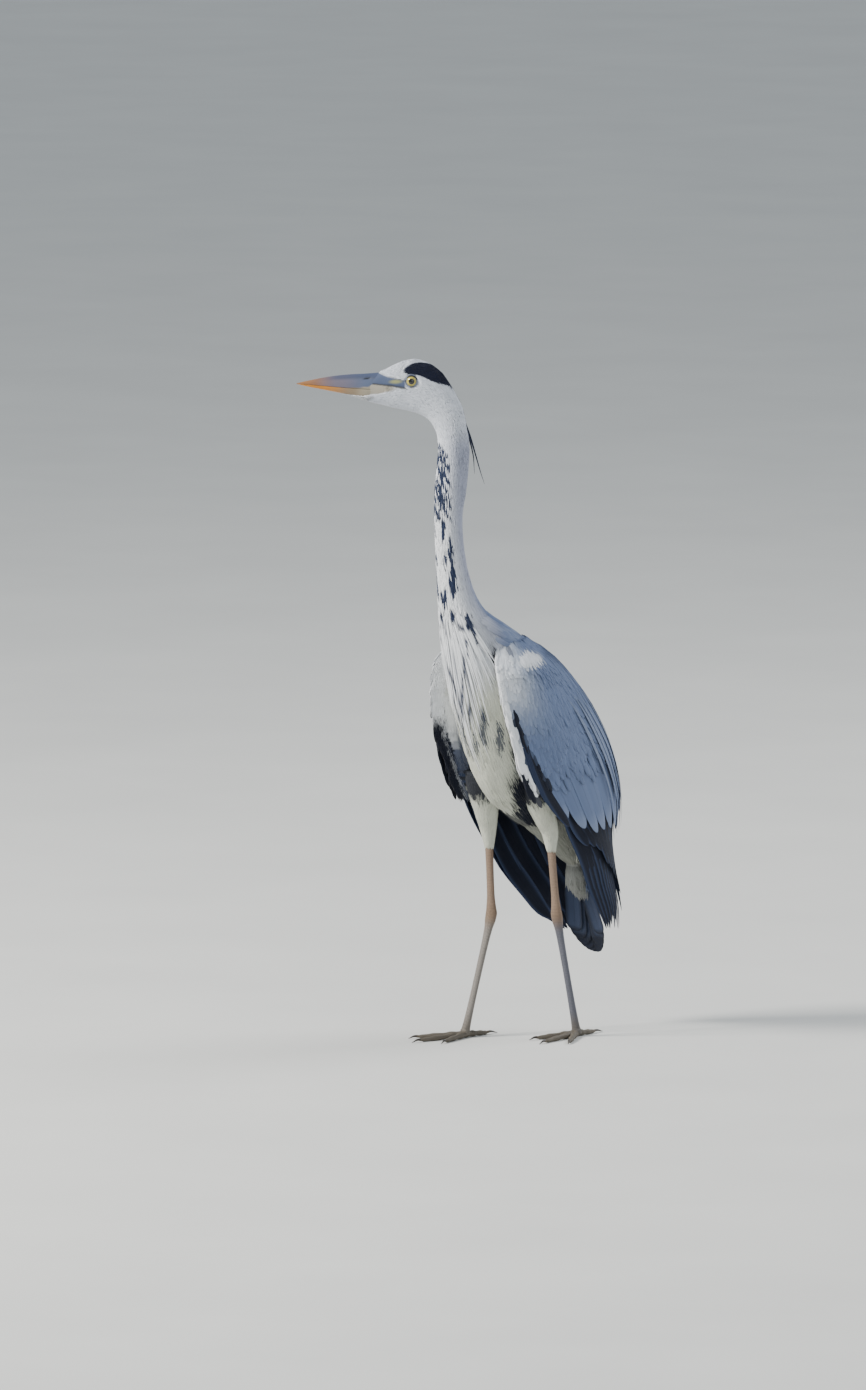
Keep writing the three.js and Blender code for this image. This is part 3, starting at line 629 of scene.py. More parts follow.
# a tuft of three narrow blades that part towards their tips
def wispMesh(form, bend):
    points, uvs, faces = [], [], []
    for b, (side, reach) in enumerate(form["blades"]):
        first = len(points)
        for v, w in zip(form["at"], form["wide"]):
            x = side * (0.75 + 0.7 * v) + bend * v * v * (1 + 0.5 * b)
            z = 4 * form["bow"] * v * (1 - v) - 0.05 * abs(side)
            for d, roof in ((-0.5, 0), (0, form["camber"] * w), (0.5, 0)):
                points.append((x + d * w, v * reach, z + roof))
                uvs.append((0.5 + side * 0.8 + d * w, v * reach))
        last = len(points) - 3
        for a in range(first, last, 3):
            faces += [(a, a + 1, a + 4, a + 3), (a + 1, a + 2, a + 5, a + 4), (a + 2, a, a + 3, a + 5)]
        faces += [(first + 2, first + 1, first), (last, last + 1, last + 2)]
    return points, uvs, faces


# a thin closed vane with a slight roof and a ragged tip
def vaneMesh(form, bend):
    columns = len(form["tip"])
    spread = np.linspace(-0.5, 0.5, columns)
    tip = np.array(form["tip"][::-1] if bend > 0 else form["tip"])
    points, uvs, faces = [], [], []
    for v, w in [*zip(form["at"], form["wide"]), (tip, form["tipWide"])]:
        v = np.broadcast_to(v, columns)
        x = spread * w + bend * v * v
        z = 4 * form["bow"] * v * (1 - v) + form["camber"] * w * (1 - (2 * spread) ** 2)
        points += zip(x, v, z)
        uvs += zip(spread + 0.5, v)
    last = len(points) - columns
    for a in range(0, last, columns):
        b = a + columns
        faces += [(a + c, a + c + 1, b + c + 1, b + c) for c in range(columns - 1)]
        faces.append((a, b, b + columns - 1, a + columns - 1))
    faces += [tuple(range(columns - 1, -1, -1)), tuple(range(last, last + columns))]
    return points, uvs, faces


# three shapes of a kind, each bent its own way
def featherShapes(kind):
    build, bends = (wispMesh, (-0.08, 0.0, 0.09)) if kind == "wisp" else (vaneMesh, (-0.05, 0.0, 0.06))
    made = []
    for k, bend in enumerate(bends):
        points, uvs, faces = build(featherForms[kind], bend)
        shape = meshObject(f"{kind}Shape{k}", points, faces)
        loops = np.empty(len(shape.data.loops), int)
        shape.data.loops.foreach_get("vertex_index", loops)
        layer = shape.data.uv_layers.new(name="featherUV")
        layer.data.foreach_set("uv", np.array(uvs, float)[loops].ravel())
        made.append(shape)
    return made


shapes = {kind: featherShapes(kind) for kind in featherForms}

# markings

paint = {
    # head is a greyer, bluer white for the head and upper neck: partly their own tone, partly painted shade
    "white": tint(226, 228, 231), "head": tint(208, 212, 220), "cream": tint(198, 200, 186),
    "mauve": tint(150, 154, 172), "mantle": tint(98, 112, 142), "back": tint(68, 82, 112),
    "pale": tint(182, 191, 205), "slate": tint(50, 60, 84), "black": tint(20, 25, 39),
    "crown": tint(19, 25, 46), "streak": tint(42, 51, 74), "lore": tint(156, 156, 100),
    "gape": tint(64, 64, 60), "tail": tint(54, 63, 84), "billBase": tint(82, 92, 116),
    # shade is the colour of painted shadow, used under the belly and on the rump's coverts
    "orbit": tint(104, 112, 132), "shade": tint(72, 74, 74), "ramus": tint(150, 142, 124),
}


# lays paints over a ground in turn: each a colour, or the name of one, and then the share of it that shows
def painted(*layers):
    layers = [np.array(paint[one]) if isinstance(one, str) else np.asarray(one) for one in layers]
    ground = layers[0]
    for colour, share in zip(layers[1::2], layers[2::2]):
        ground = ground + (colour - ground) * share[..., None]
    return ground


# dark marks down both sides of the foreneck: small and crowded above, few and long below
markForms = {
    "columns": [0.14, 0.4, 0.66, 0.92], "top": 16.0, "crowdedTo": 12.95, "pitch": 0.13, "size": [0.08, 0.13],
    # where a long one stands as [t, away], with its half length and half width
    "long": [
        [10.85, 0.74, 0.62, 0.18], [11.66, 0.78, 0.15, 0.12], [12.0, 0.92, 0.28, 0.15],
        [12.62, 0.5, 0.3, 0.13], [11.6, 0.42, 0.2, 0.09], [10.2, 0.12, 0.42, 0.09],
        [9.25, 0.36, 0.3, 0.09], [9.02, 0.92, 0.34, 0.11], [8.85, 0.56, 0.12, 0.05],
        [8.1, 0.56, 0.45, 0.025], [8.45, 0.92, 0.36, 0.035], [6.5, 0.07, 0.55, 0.035],
        [7.3, 0.3, 0.4, 0.035], [5.65, 0.42, 0.42, 0.065], [5.2, 0.64, 0.36, 0.05],
        [6.1, 0.2, 0.35, 0.03], [5.2, 0.12, 0.3, 0.035],
    ],
}


def neckMarks():
    random = np.random.default_rng(4)
    form, marks = markForms, []
    for away in form["columns"]:
        t = form["top"] - random.uniform(0, 0.1)
        while t > form["crowdedTo"]:
            for side in (-1, 1):
                at = t + random.uniform(-0.05, 0.05)
                drift = random.uniform(-0.12, 0.12) - 0.35 * smooth((t - 14.6) / 1.4) * away
                size = random.uniform(*form["size"]) * (1.5 if random.random() < 0.15 else 1)
                if random.random() < 0.88:
                    marks.append((at, side * (away + drift), size, random.uniform(0.07, 0.12), side))
            t -= form["pitch"] * random.uniform(0.8, 1.5)
    for t, away, long, wide in form["long"]:
        for side in (-1, 1):
            slip = random.uniform(-0.12, 0.12) * (side < 0)
            marks.append((t + slip, side * (away + 0.3 * slip), long, wide, side))
    return marks


marks = neckMarks()


def markShare(t, away):
    share = np.zeros(np.shape(t))
    for at, where, size, wide, side in marks:
        lean = away - where + (t - at) * (1.1 if size < 0.2 else -0.2) * side
        share = np.maximum(share, smooth((1.24 - np.hypot((t - at) / size, lean / wide)) * 6))
    return share


# the height of the lower edge of the black crown band, and of the line of the gape, by forward place
crownEdge = [[-6, 6, 16, 31, 43, 50, 64, 72, 80], [905, 916, 918.2, 922.6, 928.4, 930.6, 931.4, 936, 944]]
gapeLine = [[60, 68, 85, 110], [911.5, 912.8, 916.0, 918.6]]


# bare skin from the bill back to the eye, between the forehead's feathers and the line of the gape
def loreShare(f, z):
    over = np.interp(f, [64, 76, 90, 104], [924.5, 926.8, 929.5, 934.5]) - z
    under = z - np.interp(f, *gapeLine) + 1
    return gate((f - 65) / 3, over / 1.2, under / 1.2)


# bare skin of the lower mandible, below the gape and back to its corner
def ramusShare(f, z):
    under = np.interp(f, *gapeLine) - z
    deep = np.interp(f, [74, 90, 104, 127], [3, 10, 15, 18])
    return gate((f - 74) / 16, under / 0.8, (deep - under) / 3.0)


def plumage(t, angle):
    t, angle = np.broadcast_arrays(np.asarray(t, float), angle)
    away = np.arctan2(np.sin(angle), -np.cos(angle))  # 0 on the breast's midline, left side positive
    off = np.abs(away)
    f, z, side, _ = bodyProfile(t, angle)
    head, face = t > 16.5, t > 20
    mantle = gate((off - mix(1.75, 1.35, smooth((9 - t) / 2))) / 0.5, (11.3 - t) / 2.4)
    # painted shadow on the underside: a dark band under the belly's bulge near t 2.75 and a greyer undertail
    # below it
    hollow = np.maximum(smooth((0.35 - np.abs(t - 2.75)) / 0.2) * 0.9, smooth((2.8 - t) / 0.4) * 0.6)
    flank = gate((0.16 - np.abs(off - mix(1.18, 0.86, smooth((7.5 - t) / 4)))) / 0.07, (8.0 - t) / 0.6)
    patch = gate((off - 0.42 + 0.375 * np.clip(3.7 - t, 0, 0.8)) / 0.1, (1.4 - off) / 0.2)
    patch = patch * smooth((4.2 + 0.4 * (off - 0.7) - t) / 0.3)
    strength = mix(0.8, 1, smooth((t - 7.5) / 1.5)) * (t > 4) * (t < 16.2)
    centre = smooth((np.abs(side) - np.interp(f, [28, 38, 48, 58, 70], [0.5, 2.8, 5.8, 8.8, 11.8])) / 1.5)
    centre = np.maximum(centre, smooth((40 - f) / 8))
    band = gate((z - np.interp(f, *crownEdge)) / 1.6, (71 - f) / 4, (f - 3) / 4) * centre * head
    nape = gate((f - 1) / 4, (12 - f) / 4, (0.45 - np.abs(np.pi - off)) / 0.15) * head
    behind = np.abs(np.mod(away, 2 * np.pi) - np.pi - 0.08)
    strip = gate((z - 868) / 6, (10 - f) / 4, (0.2 - behind) / 0.08) * (t > 13)
    bare = loreShare(f, z) * face
    yellow = smooth(1.25 - np.hypot((f - 79.5) / 10, (z - 922.4 + 0.06 * (f - 80)) / 3.4))
    orbit = smooth((10.5 - np.hypot(f - eyeForward, z - eyeHeight)) / 1.5) * (np.abs(side) > 6) * face
    line = gate((f - 60) / 8, (1.5 - np.abs(z - np.interp(f, *gapeLine))) / 0.9) * face
    return painted(
        "white",
        # the head and upper neck take the greyer white, partly painted shade
        "head", smooth((t - 12) / 5),
        "mauve", gate((off - 0.6) / 1.4, (17.4 - t) / 2.2) * 0.95,
        "cream", smooth((7.5 - t) / 1.5) * (off < 1.5),
        "mantle", mantle,
        # painted shade from hollow, the shadow under the belly
        "shade", hollow * smooth((1.3 - off) / 0.3),
        "black", np.maximum(flank, patch) * smooth((t - 2.2) / 0.4),
        "streak", markShare(t, away) * strength,
        "crown", band,
        "crown", np.maximum(nape, strip) * 0.9,
        "billBase", bare,
        "lore", yellow * bare * 0.85,
        "orbit", orbit * 0.85,
        "ramus", ramusShare(f, z) * face * 0.88,
        "gape", line * 0.8,
    )


# skin


def skinDepth(t):
    return np.interp(t, [0, 8, 10, 15.6, 18, 22, 27], [4.6, 4.6, 3.6, 3.0, 2.0, 1.3, 0.35])


def bodySkin():
    t = np.concatenate([np.linspace(0, 9, 60, endpoint=False), np.linspace(9, 16.2, 60)])
    t, angle = fieldOf(t, ringAngles(72))
    return gridObject("skinBody", bodyPoint(t, angle, -skinDepth(t)), plumage(t, angle))


# the feathered thigh, around the line from hip to the bare shank: its half widths at even steps
thighSizes = [[20, 27], [18.5, 24], [14.5, 18], [10.5, 12.5], [6.4, 7.6]]


def thighPoint(leg, share, angle, out=0.0):
    share, angle, out = np.broadcast_arrays(np.asarray(share, float), angle, out)
    hip, knee, bare = (legPoint(leg, joint) for joint in ("hip", "knee", "bare"))
    line = np.array([hip, mix(hip, knee, 0.35), mix(hip, knee, 0.7), knee, bare])
    at = through(line, share * 4)
    after, before = (through(line, np.clip(share * 4 + step, 0, 4)) for step in (0.1, -0.1))
    along = unit(after - before)
    across = unit(np.cross(along, np.array([1.0, 0, 0])))
    rise = np.cross(across, along)
    size = through(thighSizes, share * 4) + out[..., None]
    sideways = across * (size[..., :1] * np.cos(angle)[..., None])
    return at + sideways + rise * (size[..., 1:] * np.sin(angle)[..., None])


# cream, near-black at the top of the thigh: partly dark feathers, partly painted shade under the wing and
# belly
def thighColour(leg, share):
    return painted("cream", "black", smooth((leg["thighDark"] - share) / 0.05) * 0.97)


def thighSkin(leg):
    share, angle = fieldOf(np.linspace(0, 1, 24), ringAngles(32))
    grid = thighPoint(leg, share, angle, -2.0 * (1 - share * 0.7))
    return gridObject("skinThigh", grid, thighColour(leg, share))


# the rump under the tail's coverts: share of the tail, half width, height over and under it
tailRows = [
    [0, 13.6, 8.6, 8.6], [0.1, 17, 8.4, 12], [0.2, 17.5, 6.5, 11.5],
    [0.3, 15, 4, 8], [0.4, 10, 2.2, 4.5], [0.46, 5, 1.4, 2.4],
]


def rumpPoint(share, angle, out=0.0):
    share, angle, out = np.broadcast_arrays(np.asarray(share, float), angle, out)
    rows = np.array(tailRows)
    at = np.interp(share, rows[:, 0], np.arange(len(rows)))
    half, over, under = np.moveaxis(through(rows[:, 1:], at), -1, 0)
    rise = np.where(np.cos(angle) > 0, over, under)
    return tailPoint(share, (half + out) * np.sin(angle), (rise + out) * np.cos(angle))


def rumpColour(share, angle):
    return painted(
        "white",
        "cream", 0.6 + 0 * share,
        # painted shade: the rump's coverts greyed, a little darker towards the tail
        "shade", 0.5 + 0.2 * smooth((share - 0.1) / 0.3),
        "mantle", smooth((np.cos(angle) + 0.45) / 0.3),
    )


def rumpSkin():
    share, angle = fieldOf(np.linspace(-0.12, 0.45, 20), ringAngles(28))
    return gridObject("skinRump", rumpPoint(share, angle, -2.0), rumpColour(share, angle))


# the level way from the arm in towards the body, whose middle lies further forward above
def inwardWay(at):
    spineY = mix(-100, 90, np.clip((600 - at[..., 2]) / 360, 0, 1))
    return np.stack([-at[..., 0], spineY - at[..., 1], np.zeros_like(spineY)], -1)


# the folded arm of each wing, under its coverts
def armSkin(wing):
    along, across = fieldOf(np.linspace(0.0, 0.43, 24), np.linspace(0, 1, 24))
    edge = np.clip(np.minimum(across, 1 - across) * 6, 0, 1)
    drop = 6.2 * smooth((along - 0.27) / 0.07) + 3.0
    outer = wing.point(along, across, -drop - 2.4 * (1 - np.sqrt(1 - (1 - edge) ** 2)))
    inward = inwardWay(outer)
    thick = mix(40, 20, smooth((along / 0.5 - 0.4) / 0.6)) * mix(0.7, 1, edge)
    most = np.maximum(2, np.minimum(thick, np.linalg.norm(inward, axis=-1) - 8))
    inner = outer + unit(inward) * most[..., None]
    # the inner face is white near the front and slate behind: partly the wing's own underside, partly painted
    # shade where it faces the body
    liningAndShade = painted("white", "slate", smooth((along - 0.25) / 0.08))
    rimEnd = 0.33 if wing.side == "Left" else 0.21
    rim = gate((0.08 - across) / 0.03, (rimEnd - along) / 0.05)
    colours = np.concatenate([painted(wingColour(wing, along, across), "white", rim), liningAndShade], 1)
    return gridObject("skinArm", np.concatenate([outer, inner[:, ::-1]], 1), colours, flip=wing.sign > 0)


# where the black wedge of the folded wing lies, as along, across and its half width
wedgeLines = {
    "Left": [[0.2, 0.25, 0.3, 0.36, 0.46, 0.52], [0.075, 0.08, 0.09, 0.105, 0.115, 0.12],
             [0.012, 0.024, 0.032, 0.038, 0.04, 0.03]],
    "Right": [[0.2, 0.25, 0.35, 0.45, 0.52], [0.05, 0.04, 0.02, 0.0, 0.0], [0.03, 0.05, 0.06, 0.08, 0.07]],
}


# the folded wing's ground colour: pale at the wrist, blue-grey behind, with a white edge and a black wedge
def wingColour(wing, along, across):
    later = smooth((along - 0.3) / 0.1)
    stripe = gate((0.062 + 0.015 * later - across) / 0.016, (across + 0.03 - 0.06 * later) / 0.012)
    behind = np.maximum(smooth((0.06 * later - 0.02 - across) / 0.012), smooth((along - 0.415) / 0.02))
    shoulder = smooth((1 - np.hypot((along - 0.088) / 0.026, (across - 0.36) / 0.19)) / 0.4)
    patch = smooth((1 - np.hypot((along - 0.055) / 0.022, (across - 0.17) / 0.05)) / 0.4)
    at, centre, half = wedgeLines[wing.side]
    wedge = smooth((np.interp(along, at, half) - np.abs(across - np.interp(along, at, centre))) / 0.012 + 0.5)
    return painted(
        "mantle",
        "back", smooth((across - 0.6) / 0.3) * 0.8,
        "pale", gate((0.4 - across) / 0.26, (0.3 - along) / 0.2) * 0.8,
        "white", gate((0.27 - across) / 0.16, (0.24 - along) / 0.12) * 0.75,
        "black", gate((0.085 - across) / 0.016, (along - 0.33) / 0.04),
        "white", stripe * smooth((along - 0.06) / 0.05),
        "black", behind * smooth((0.1 - across) / 0.02),
        "white", shoulder * 0.9,
        "slate", patch * 0.7,
        "black", wedge * smooth((along - 0.19) / 0.03) * smooth((0.54 - along) / 0.04),
    )


# the head's own skin, fine enough for the line of the mouth and the hollow of the lores
headSkinSizes = {
    "rows": 170, "columns": 132, "from": 15.4, "mouthDeep": 0.7, "mouthWide": 0.8, "loreDeep": 1.0,
}


def headSkin():
    sizes = headSkinSizes
    t, angle = fieldOf(np.linspace(sizes["from"], profileEnd, sizes["rows"]), ringAngles(sizes["columns"]))
    f, z, _, _ = bodyProfile(t, angle)
    gape = np.exp(-((z - np.interp(f, *gapeLine)) / sizes["mouthWide"]) ** 2)
    mouth = sizes["mouthDeep"] * smooth((f - 62) / 6) * gape
    hollow = sizes["loreDeep"] * loreShare(f, z) * smooth((26.6 - t) / 1.6)
    grid = bodyPoint(t, angle, -skinDepth(t) - (mouth + hollow) * (t > 20))
    return gridObject("skinHead", grid, plumage(t, angle))


# fuses closed shells into one and gives each new point the colour of the nearest old one
def fused(name, pieces, voxel):
    whole = joinPieces(name, pieces)
    count = len(whole.data.vertices)
    colours = np.empty(count * 4)
    whole.data.color_attributes["plumage"].data.foreach_get("color", colours)
    tree = KDTree(count)
    for k, vertex in enumerate(whole.data.vertices):
        tree.insert(vertex.co, k)
    tree.balance()
    modifier = whole.modifiers.new("remesh", "REMESH")
    modifier.mode, modifier.voxel_size = "VOXEL", voxel
    bpy.ops.object.modifier_apply(modifier="remesh")
    nearest = [tree.find(vertex.co)[1] for vertex in whole.data.vertices]
    for layer in list(whole.data.color_attributes):
        whole.data.color_attributes.remove(layer)
    setColours(whole, colours.reshape(-1, 4)[nearest, :3])
    whole.data.shade_smooth()
    return whole


fleshVoxel = 0.003
flesh = [bodySkin(), rumpSkin(), *map(thighSkin, legs.values()), *map(armSkin, wings)]
skin = dressed(joinPieces("skin", [fused("flesh", flesh, fleshVoxel), headSkin()]), skinMaterial())
print("heron: skin made")

# feather roots, in rows that overlap like tiles

rootLayout = {"samples": 181, "small": 0.002, "percentile": 92, "fewest": 4, "jitter": 0.22, "rowJitter": 0.3}


# how far each point of a path lies along it
def arcLength(path):
    return np.concatenate([[0], np.cumsum(np.linalg.norm(np.diff(path, axis=0), axis=1))])


# step gives the distance of rows and of the roots in a row, in millimetres
def follicles(surface, start, end, step, seed, span=(0.0, 2 * np.pi)):
    layout, random = rootLayout, np.random.default_rng(seed)
    v, small, jitter = np.linspace(*span, layout["samples"]), layout["small"], layout["jitter"]
    found, u, row = [], start, 0
    while u < end:
        line = surface(np.full(v.shape, u), v)
        rate = np.linalg.norm(surface(np.full(v.shape, u + small), v) - line, axis=1) / small
        arc = arcLength(line)
        rowStep, rootStep = step(u)
        most = np.percentile(rate, layout["percentile"])
        count = max(layout["fewest"], int(arc[-1] / rootStep))
        at = np.arange(count) + 0.5 * (row % 2) + random.uniform(-jitter, jitter, count)
        at = np.interp(at / count % 1 * arc[-1], arc, v)
        kept = random.random(count) < np.interp(at, v, rate) / most
        stride = rowStep / most
        found.append(np.c_[u + random.uniform(-1, 1, count) * layout["rowJitter"] * stride, at][kept])
        u, row = u + stride, row + 1
    return np.concatenate(found).T


# the way along a surface and the way out of it, on the side that `away` points to
def lieAndOutward(surface, u, v, away):
    step = 0.02
    lie = unit(surface(u + step, v) - surface(u - step, v))
    outward = unit(np.cross(surface(u, v + step) - surface(u, v - step), lie))
    return lie, outward * np.sign(np.sum(outward * away, axis=1))[:, None]


# a table of rows [u, a, b, ...] read between its rows
def table(rows):
    rows = np.array(rows, float)
    return lambda u: [np.interp(u, rows[:, 0], rows[:, k]) for k in range(1, rows.shape[1])]


# grows one piece of coat from its roots: where each one stands, its way out, its lie, its size and its colour
def coat(name, at, ways, size, colour, chart, kind, material, seed, lift=0.03, scatter=0.12):
    lie, outward = ways
    length, width = size
    size = np.stack([width, length, (width + length) / 2], -1) / 1000
    rootUv = np.c_[chart, np.zeros(len(chart))]
    facts = {"outward": outward, "lie": lie, "size": size, "plumage": colour, "rootUv": rootUv}
    forms = {f"Shape{k}": shape for k, shape in enumerate(shapes[kind])}
    piece = pointPiece(name, metres(at), facts)
    return grown(piece, "coat", Material=material, Lift=lift, Scatter=scatter, Seed=seed, **forms)


# lengths and widths of the body's feathers from tail to bill, and how far apart they stand
bodyFeathers = table([
    # t, length, width, row step, root step
    [-0.5, 32, 9, 6.5, 5.2], [3, 36, 9.5, 6.5, 5.2], [6, 34, 9, 6, 5], [8.5, 29, 7, 5, 4.1],
    [10, 24, 4.6, 3.8, 2.9], [12, 19, 3.4, 3.1, 2.3], [15, 15, 2.8, 2.6, 2.0], [17, 11.5, 2.2, 2.0, 1.55],
    [19, 9.5, 1.9, 1.75, 1.35], [22, 7.4, 1.45, 1.4, 1.08], [24.5, 5.8, 1.2, 1.2, 0.94],
    [27, 4.2, 1.0, 1.05, 0.82],
])
bellySwell = 4.5  # how far the belly's last feathers stand out over the vent


# a place of the body on the bake map
def bodyChart(t, angle):
    return np.stack([0.02 + 0.6 * angle / (2 * np.pi), 0.05 + 0.93 * t / profileEnd], -1)


# the coat between two stations of the profile, where keep says so
def bodyCoat(name, start, end, kind, material, keep, lift, seed):
    t, angle = follicles(bodyPoint, start, end, lambda u: bodyFeathers(u)[2:], seed)
    kept = keep(t, angle)
    t, angle = t[kept], angle[kept]
    length, width = bodyFeathers(t)[:2]
    step = 0.03
    alongWay = bodyPoint(t - step, angle) - bodyPoint(t + step, angle)
    aroundWay = bodyPoint(t, angle + step) - bodyPoint(t, angle - step)
    rate = np.linalg.norm(alongWay, axis=1) / (2 * step)
    lie = unit(alongWay)
    swell = bellySwell * gate((t - 2.85) / 0.2, (5.4 - t) / 1.6, (-np.cos(angle) - 0.5) / 0.3)
    at, chart = bodyPoint(t, angle, 0.4 - skinDepth(t) + swell), bodyChart(t, angle)
    ways, colour = (lie, unit(np.cross(aroundWay, lie))), plumage(t - 0.55 * length / rate, angle)
    return coat(name, at, ways, (length, width), colour, chart, kind, material, seed, lift)


def onBreast(t, angle):
    return np.cos(angle) < 0


def onBack(t, angle):
    return np.cos(angle) >= 0


def onNeck(t, angle):
    return t > 0


# the face keeps clear of the eyes, the lores and the bill's base
def onFace(t, angle):
    f, z, side, _ = bodyProfile(t, angle)
    eyeGap = np.hypot(f - eyeForward, z - eyeHeight) > mix(8.9, 4, smooth((12 - np.abs(side)) / 4))
    return eyeGap & (loreShare(f, z) < 0.35) & (ramusShare(f, z) * (f > 96) < 0.5) & (t < 26.9)


softFeather = featherMaterial("softFeather")
fineFeather = featherMaterial("fineFeather", shaft=0.4, edge=0.6, barbScale=0.5)
stiff = {"shaft": 1.2, "edge": 0.5, "barbScale": 2.0, "gloss": 0.08, "sheen": 0.02}
flightFeather = featherMaterial("flightFeather", rim=tint(58, 70, 98), **stiff)
tailFeather = featherMaterial("tailFeather", rim=tint(20, 24, 34), **stiff)
covertFeather = featherMaterial("covertFeather", shaft=0.7, edge=1.6, barbScale=1.5)
coats = [
    bodyCoat("coatBreast", -0.4, 9.3, "wisp", softFeather, onBreast, lift=0.04, seed=2),
    bodyCoat("coatBack", -0.4, 9.3, "contour", softFeather, onBack, lift=0.04, seed=3),
    bodyCoat("coatNeck", 9.3, 15.8, "lancet", fineFeather, onNeck, lift=0.055, seed=4),
    bodyCoat("coatNape", 15.8, 19.6, "tiny", fineFeather, onFace, lift=0.06, seed=5),
    bodyCoat("coatFace", 19.6, 26.9, "tiny", fineFeather, onFace, lift=0.07, seed=6),
]
print("heron: body coat made")


# long vanes, each a line of points with its way out, half width and colour; place is its root on the bake map


def vanePiece(name, vanes, material, seed, thick=0.03, camber=0.12, shaft=0.0005):
    points, edges = [], []
    facts = {"outward": [], "half": [], "along": [], "plumage": [], "rootUv": []}
    for vane in vanes:
        first, count = len(points), len(vane["points"])
        points += list(metres(vane["points"]))
        edges += [(first + k, first + k + 1) for k in range(count - 1)]
        for key in ("outward", "half", "along", "plumage"):
            facts[key] += list(vane[key])
        facts["rootUv"] += [(*vane["place"], 0.0)] * count
    facts["half"] = np.array(facts["half"]) / 1000
    piece = pointPiece(name, points, facts, edges)
    return grown(piece, "vane", Material=material, Camber=camber, Thickness=thick, Shaft=shaft, Seed=seed)


# where a vane's own points fall, closer together at its rounded end
def vaneSteps(count):
    return 1 - (1 - np.linspace(0, 1, count)) ** 1.5


def vaneWidth(u, base, end):
    past = np.clip(u - end, 0, 1) / (1.001 - end)
    return mix(base, 1, smooth(u * 2.5)) * np.sqrt(np.clip(1 - past**2, 0.01, 1))


# rows of vanes on the folded wing; roots and tips are those of a row's end vanes, as [along, across]
wingRows = {
    "primaries": {"count": 10, "roots": [[0.34, 0.12], [0.38, 0.5]], "tips": [[0.97, -0.03], [0.985, 0.7]],
                  "level": -15.2, "rises": 1, "end": 0.72, "wide": 1.25, "uneven": 0.02},
    "primaryBacks": {"count": 5, "roots": [[0.36, 0.16], [0.4, 0.5]], "tips": [[0.93, 0.03], [0.96, 0.7]],
                     "level": -17.6, "rises": 1, "end": 0.8, "wide": 0.95, "uneven": 0.02},
    "secondaries": {"count": 12, "roots": [[0.36, 0.1], [0.42, 0.88]], "tips": [[0.7, 0.085], [0.92, 0.84]],
                    "level": -9.6, "rises": 1, "end": 0.7, "wide": 0.95, "uneven": 0.035},
    "primaryCoverts": {"count": 4, "roots": [[0.19, 0.085], [0.21, 0.1]], "tips": [[0.42, 0.1], [0.56, 0.15]],
                       "level": 0.3, "rises": 0, "end": 0.5, "wide": 3.0},
    "greaterCoverts": {"count": 10, "roots": [[0.2, 0.18], [0.24, 0.92]],
                       "tips": [[0.53, 0.165], [0.71, 0.89]],
                       "level": -1.8, "rises": 0, "end": 0.68, "wide": 0.66,
                       "ends": [[0.15, 0.21, 0.31, 0.46, 0.65, 0.87], [0.515, 0.57, 0.625, 0.64, 0.66, 0.7]]},
    "medianCoverts": {"count": 15, "roots": [[0.13, 0.15], [0.15, 0.93]], "tips": [[0.37, 0.16], [0.5, 0.9]],
                      "level": -1.2, "rises": 0, "end": 0.5, "wide": 0.8, "uneven": 0.03},
    "scapulars": {"count": 9, "roots": [[0.05, 0.6], [0.04, 0.97]], "tips": [[0.36, 0.6], [0.5, 0.95]],
                  "level": 1.4, "rises": 0, "end": 0.55, "wide": 0.85},
    "longScapulars": {"count": 8, "roots": [[0.14, 0.6], [0.12, 0.95]], "tips": [[0.54, 0.58], [0.68, 0.94]],
                      "level": 2.2, "rises": 0, "end": 0.45, "wide": 0.66, "uneven": 0.03},
    "plumes": {"count": 13, "roots": [[0.2, 0.5], [0.16, 0.94]], "tips": [[0.57, 0.52], [0.72, 0.92]],
               "level": 3.0, "rises": 0, "end": 0.25, "wide": 0.3, "uneven": 0.06, "stray": 0.35},
}
wingGroups = {
    "flight": (flightFeather, "primaries", "primaryBacks", "secondaries", "primaryCoverts"),
    "covert": (covertFeather, "greaterCoverts", "medianCoverts", "scapulars", "longScapulars", "plumes"),
}
wingSpacing = 1.0  # height of one vane of a row over the next


def layerRise(along, across):
    return 6 * smooth((along - 0.53 - 0.2 * across) / 0.2) + 6 * smooth((along - 0.82) / 0.14)


def wingVaneColour(wing, row, along, across, u):
    ground = wingColour(wing, along, across)
    if row in wingGroups["flight"]:
        return painted("black", "slate", smooth((across - 0.55) / 0.3) * 0.35)
    if row == "greaterCoverts":
        tip = 0.12 * smooth((u - 0.8) / 0.15)
        return painted(ground, "mantle", smooth((0.22 - across) / 0.05), "pale", tip)
    if row == "longScapulars":
        return painted(ground, "slate", 0.12 * smooth((0.5 - u) / 0.3))
    return painted(ground, "pale", 0.2) if row == "plumes" else ground


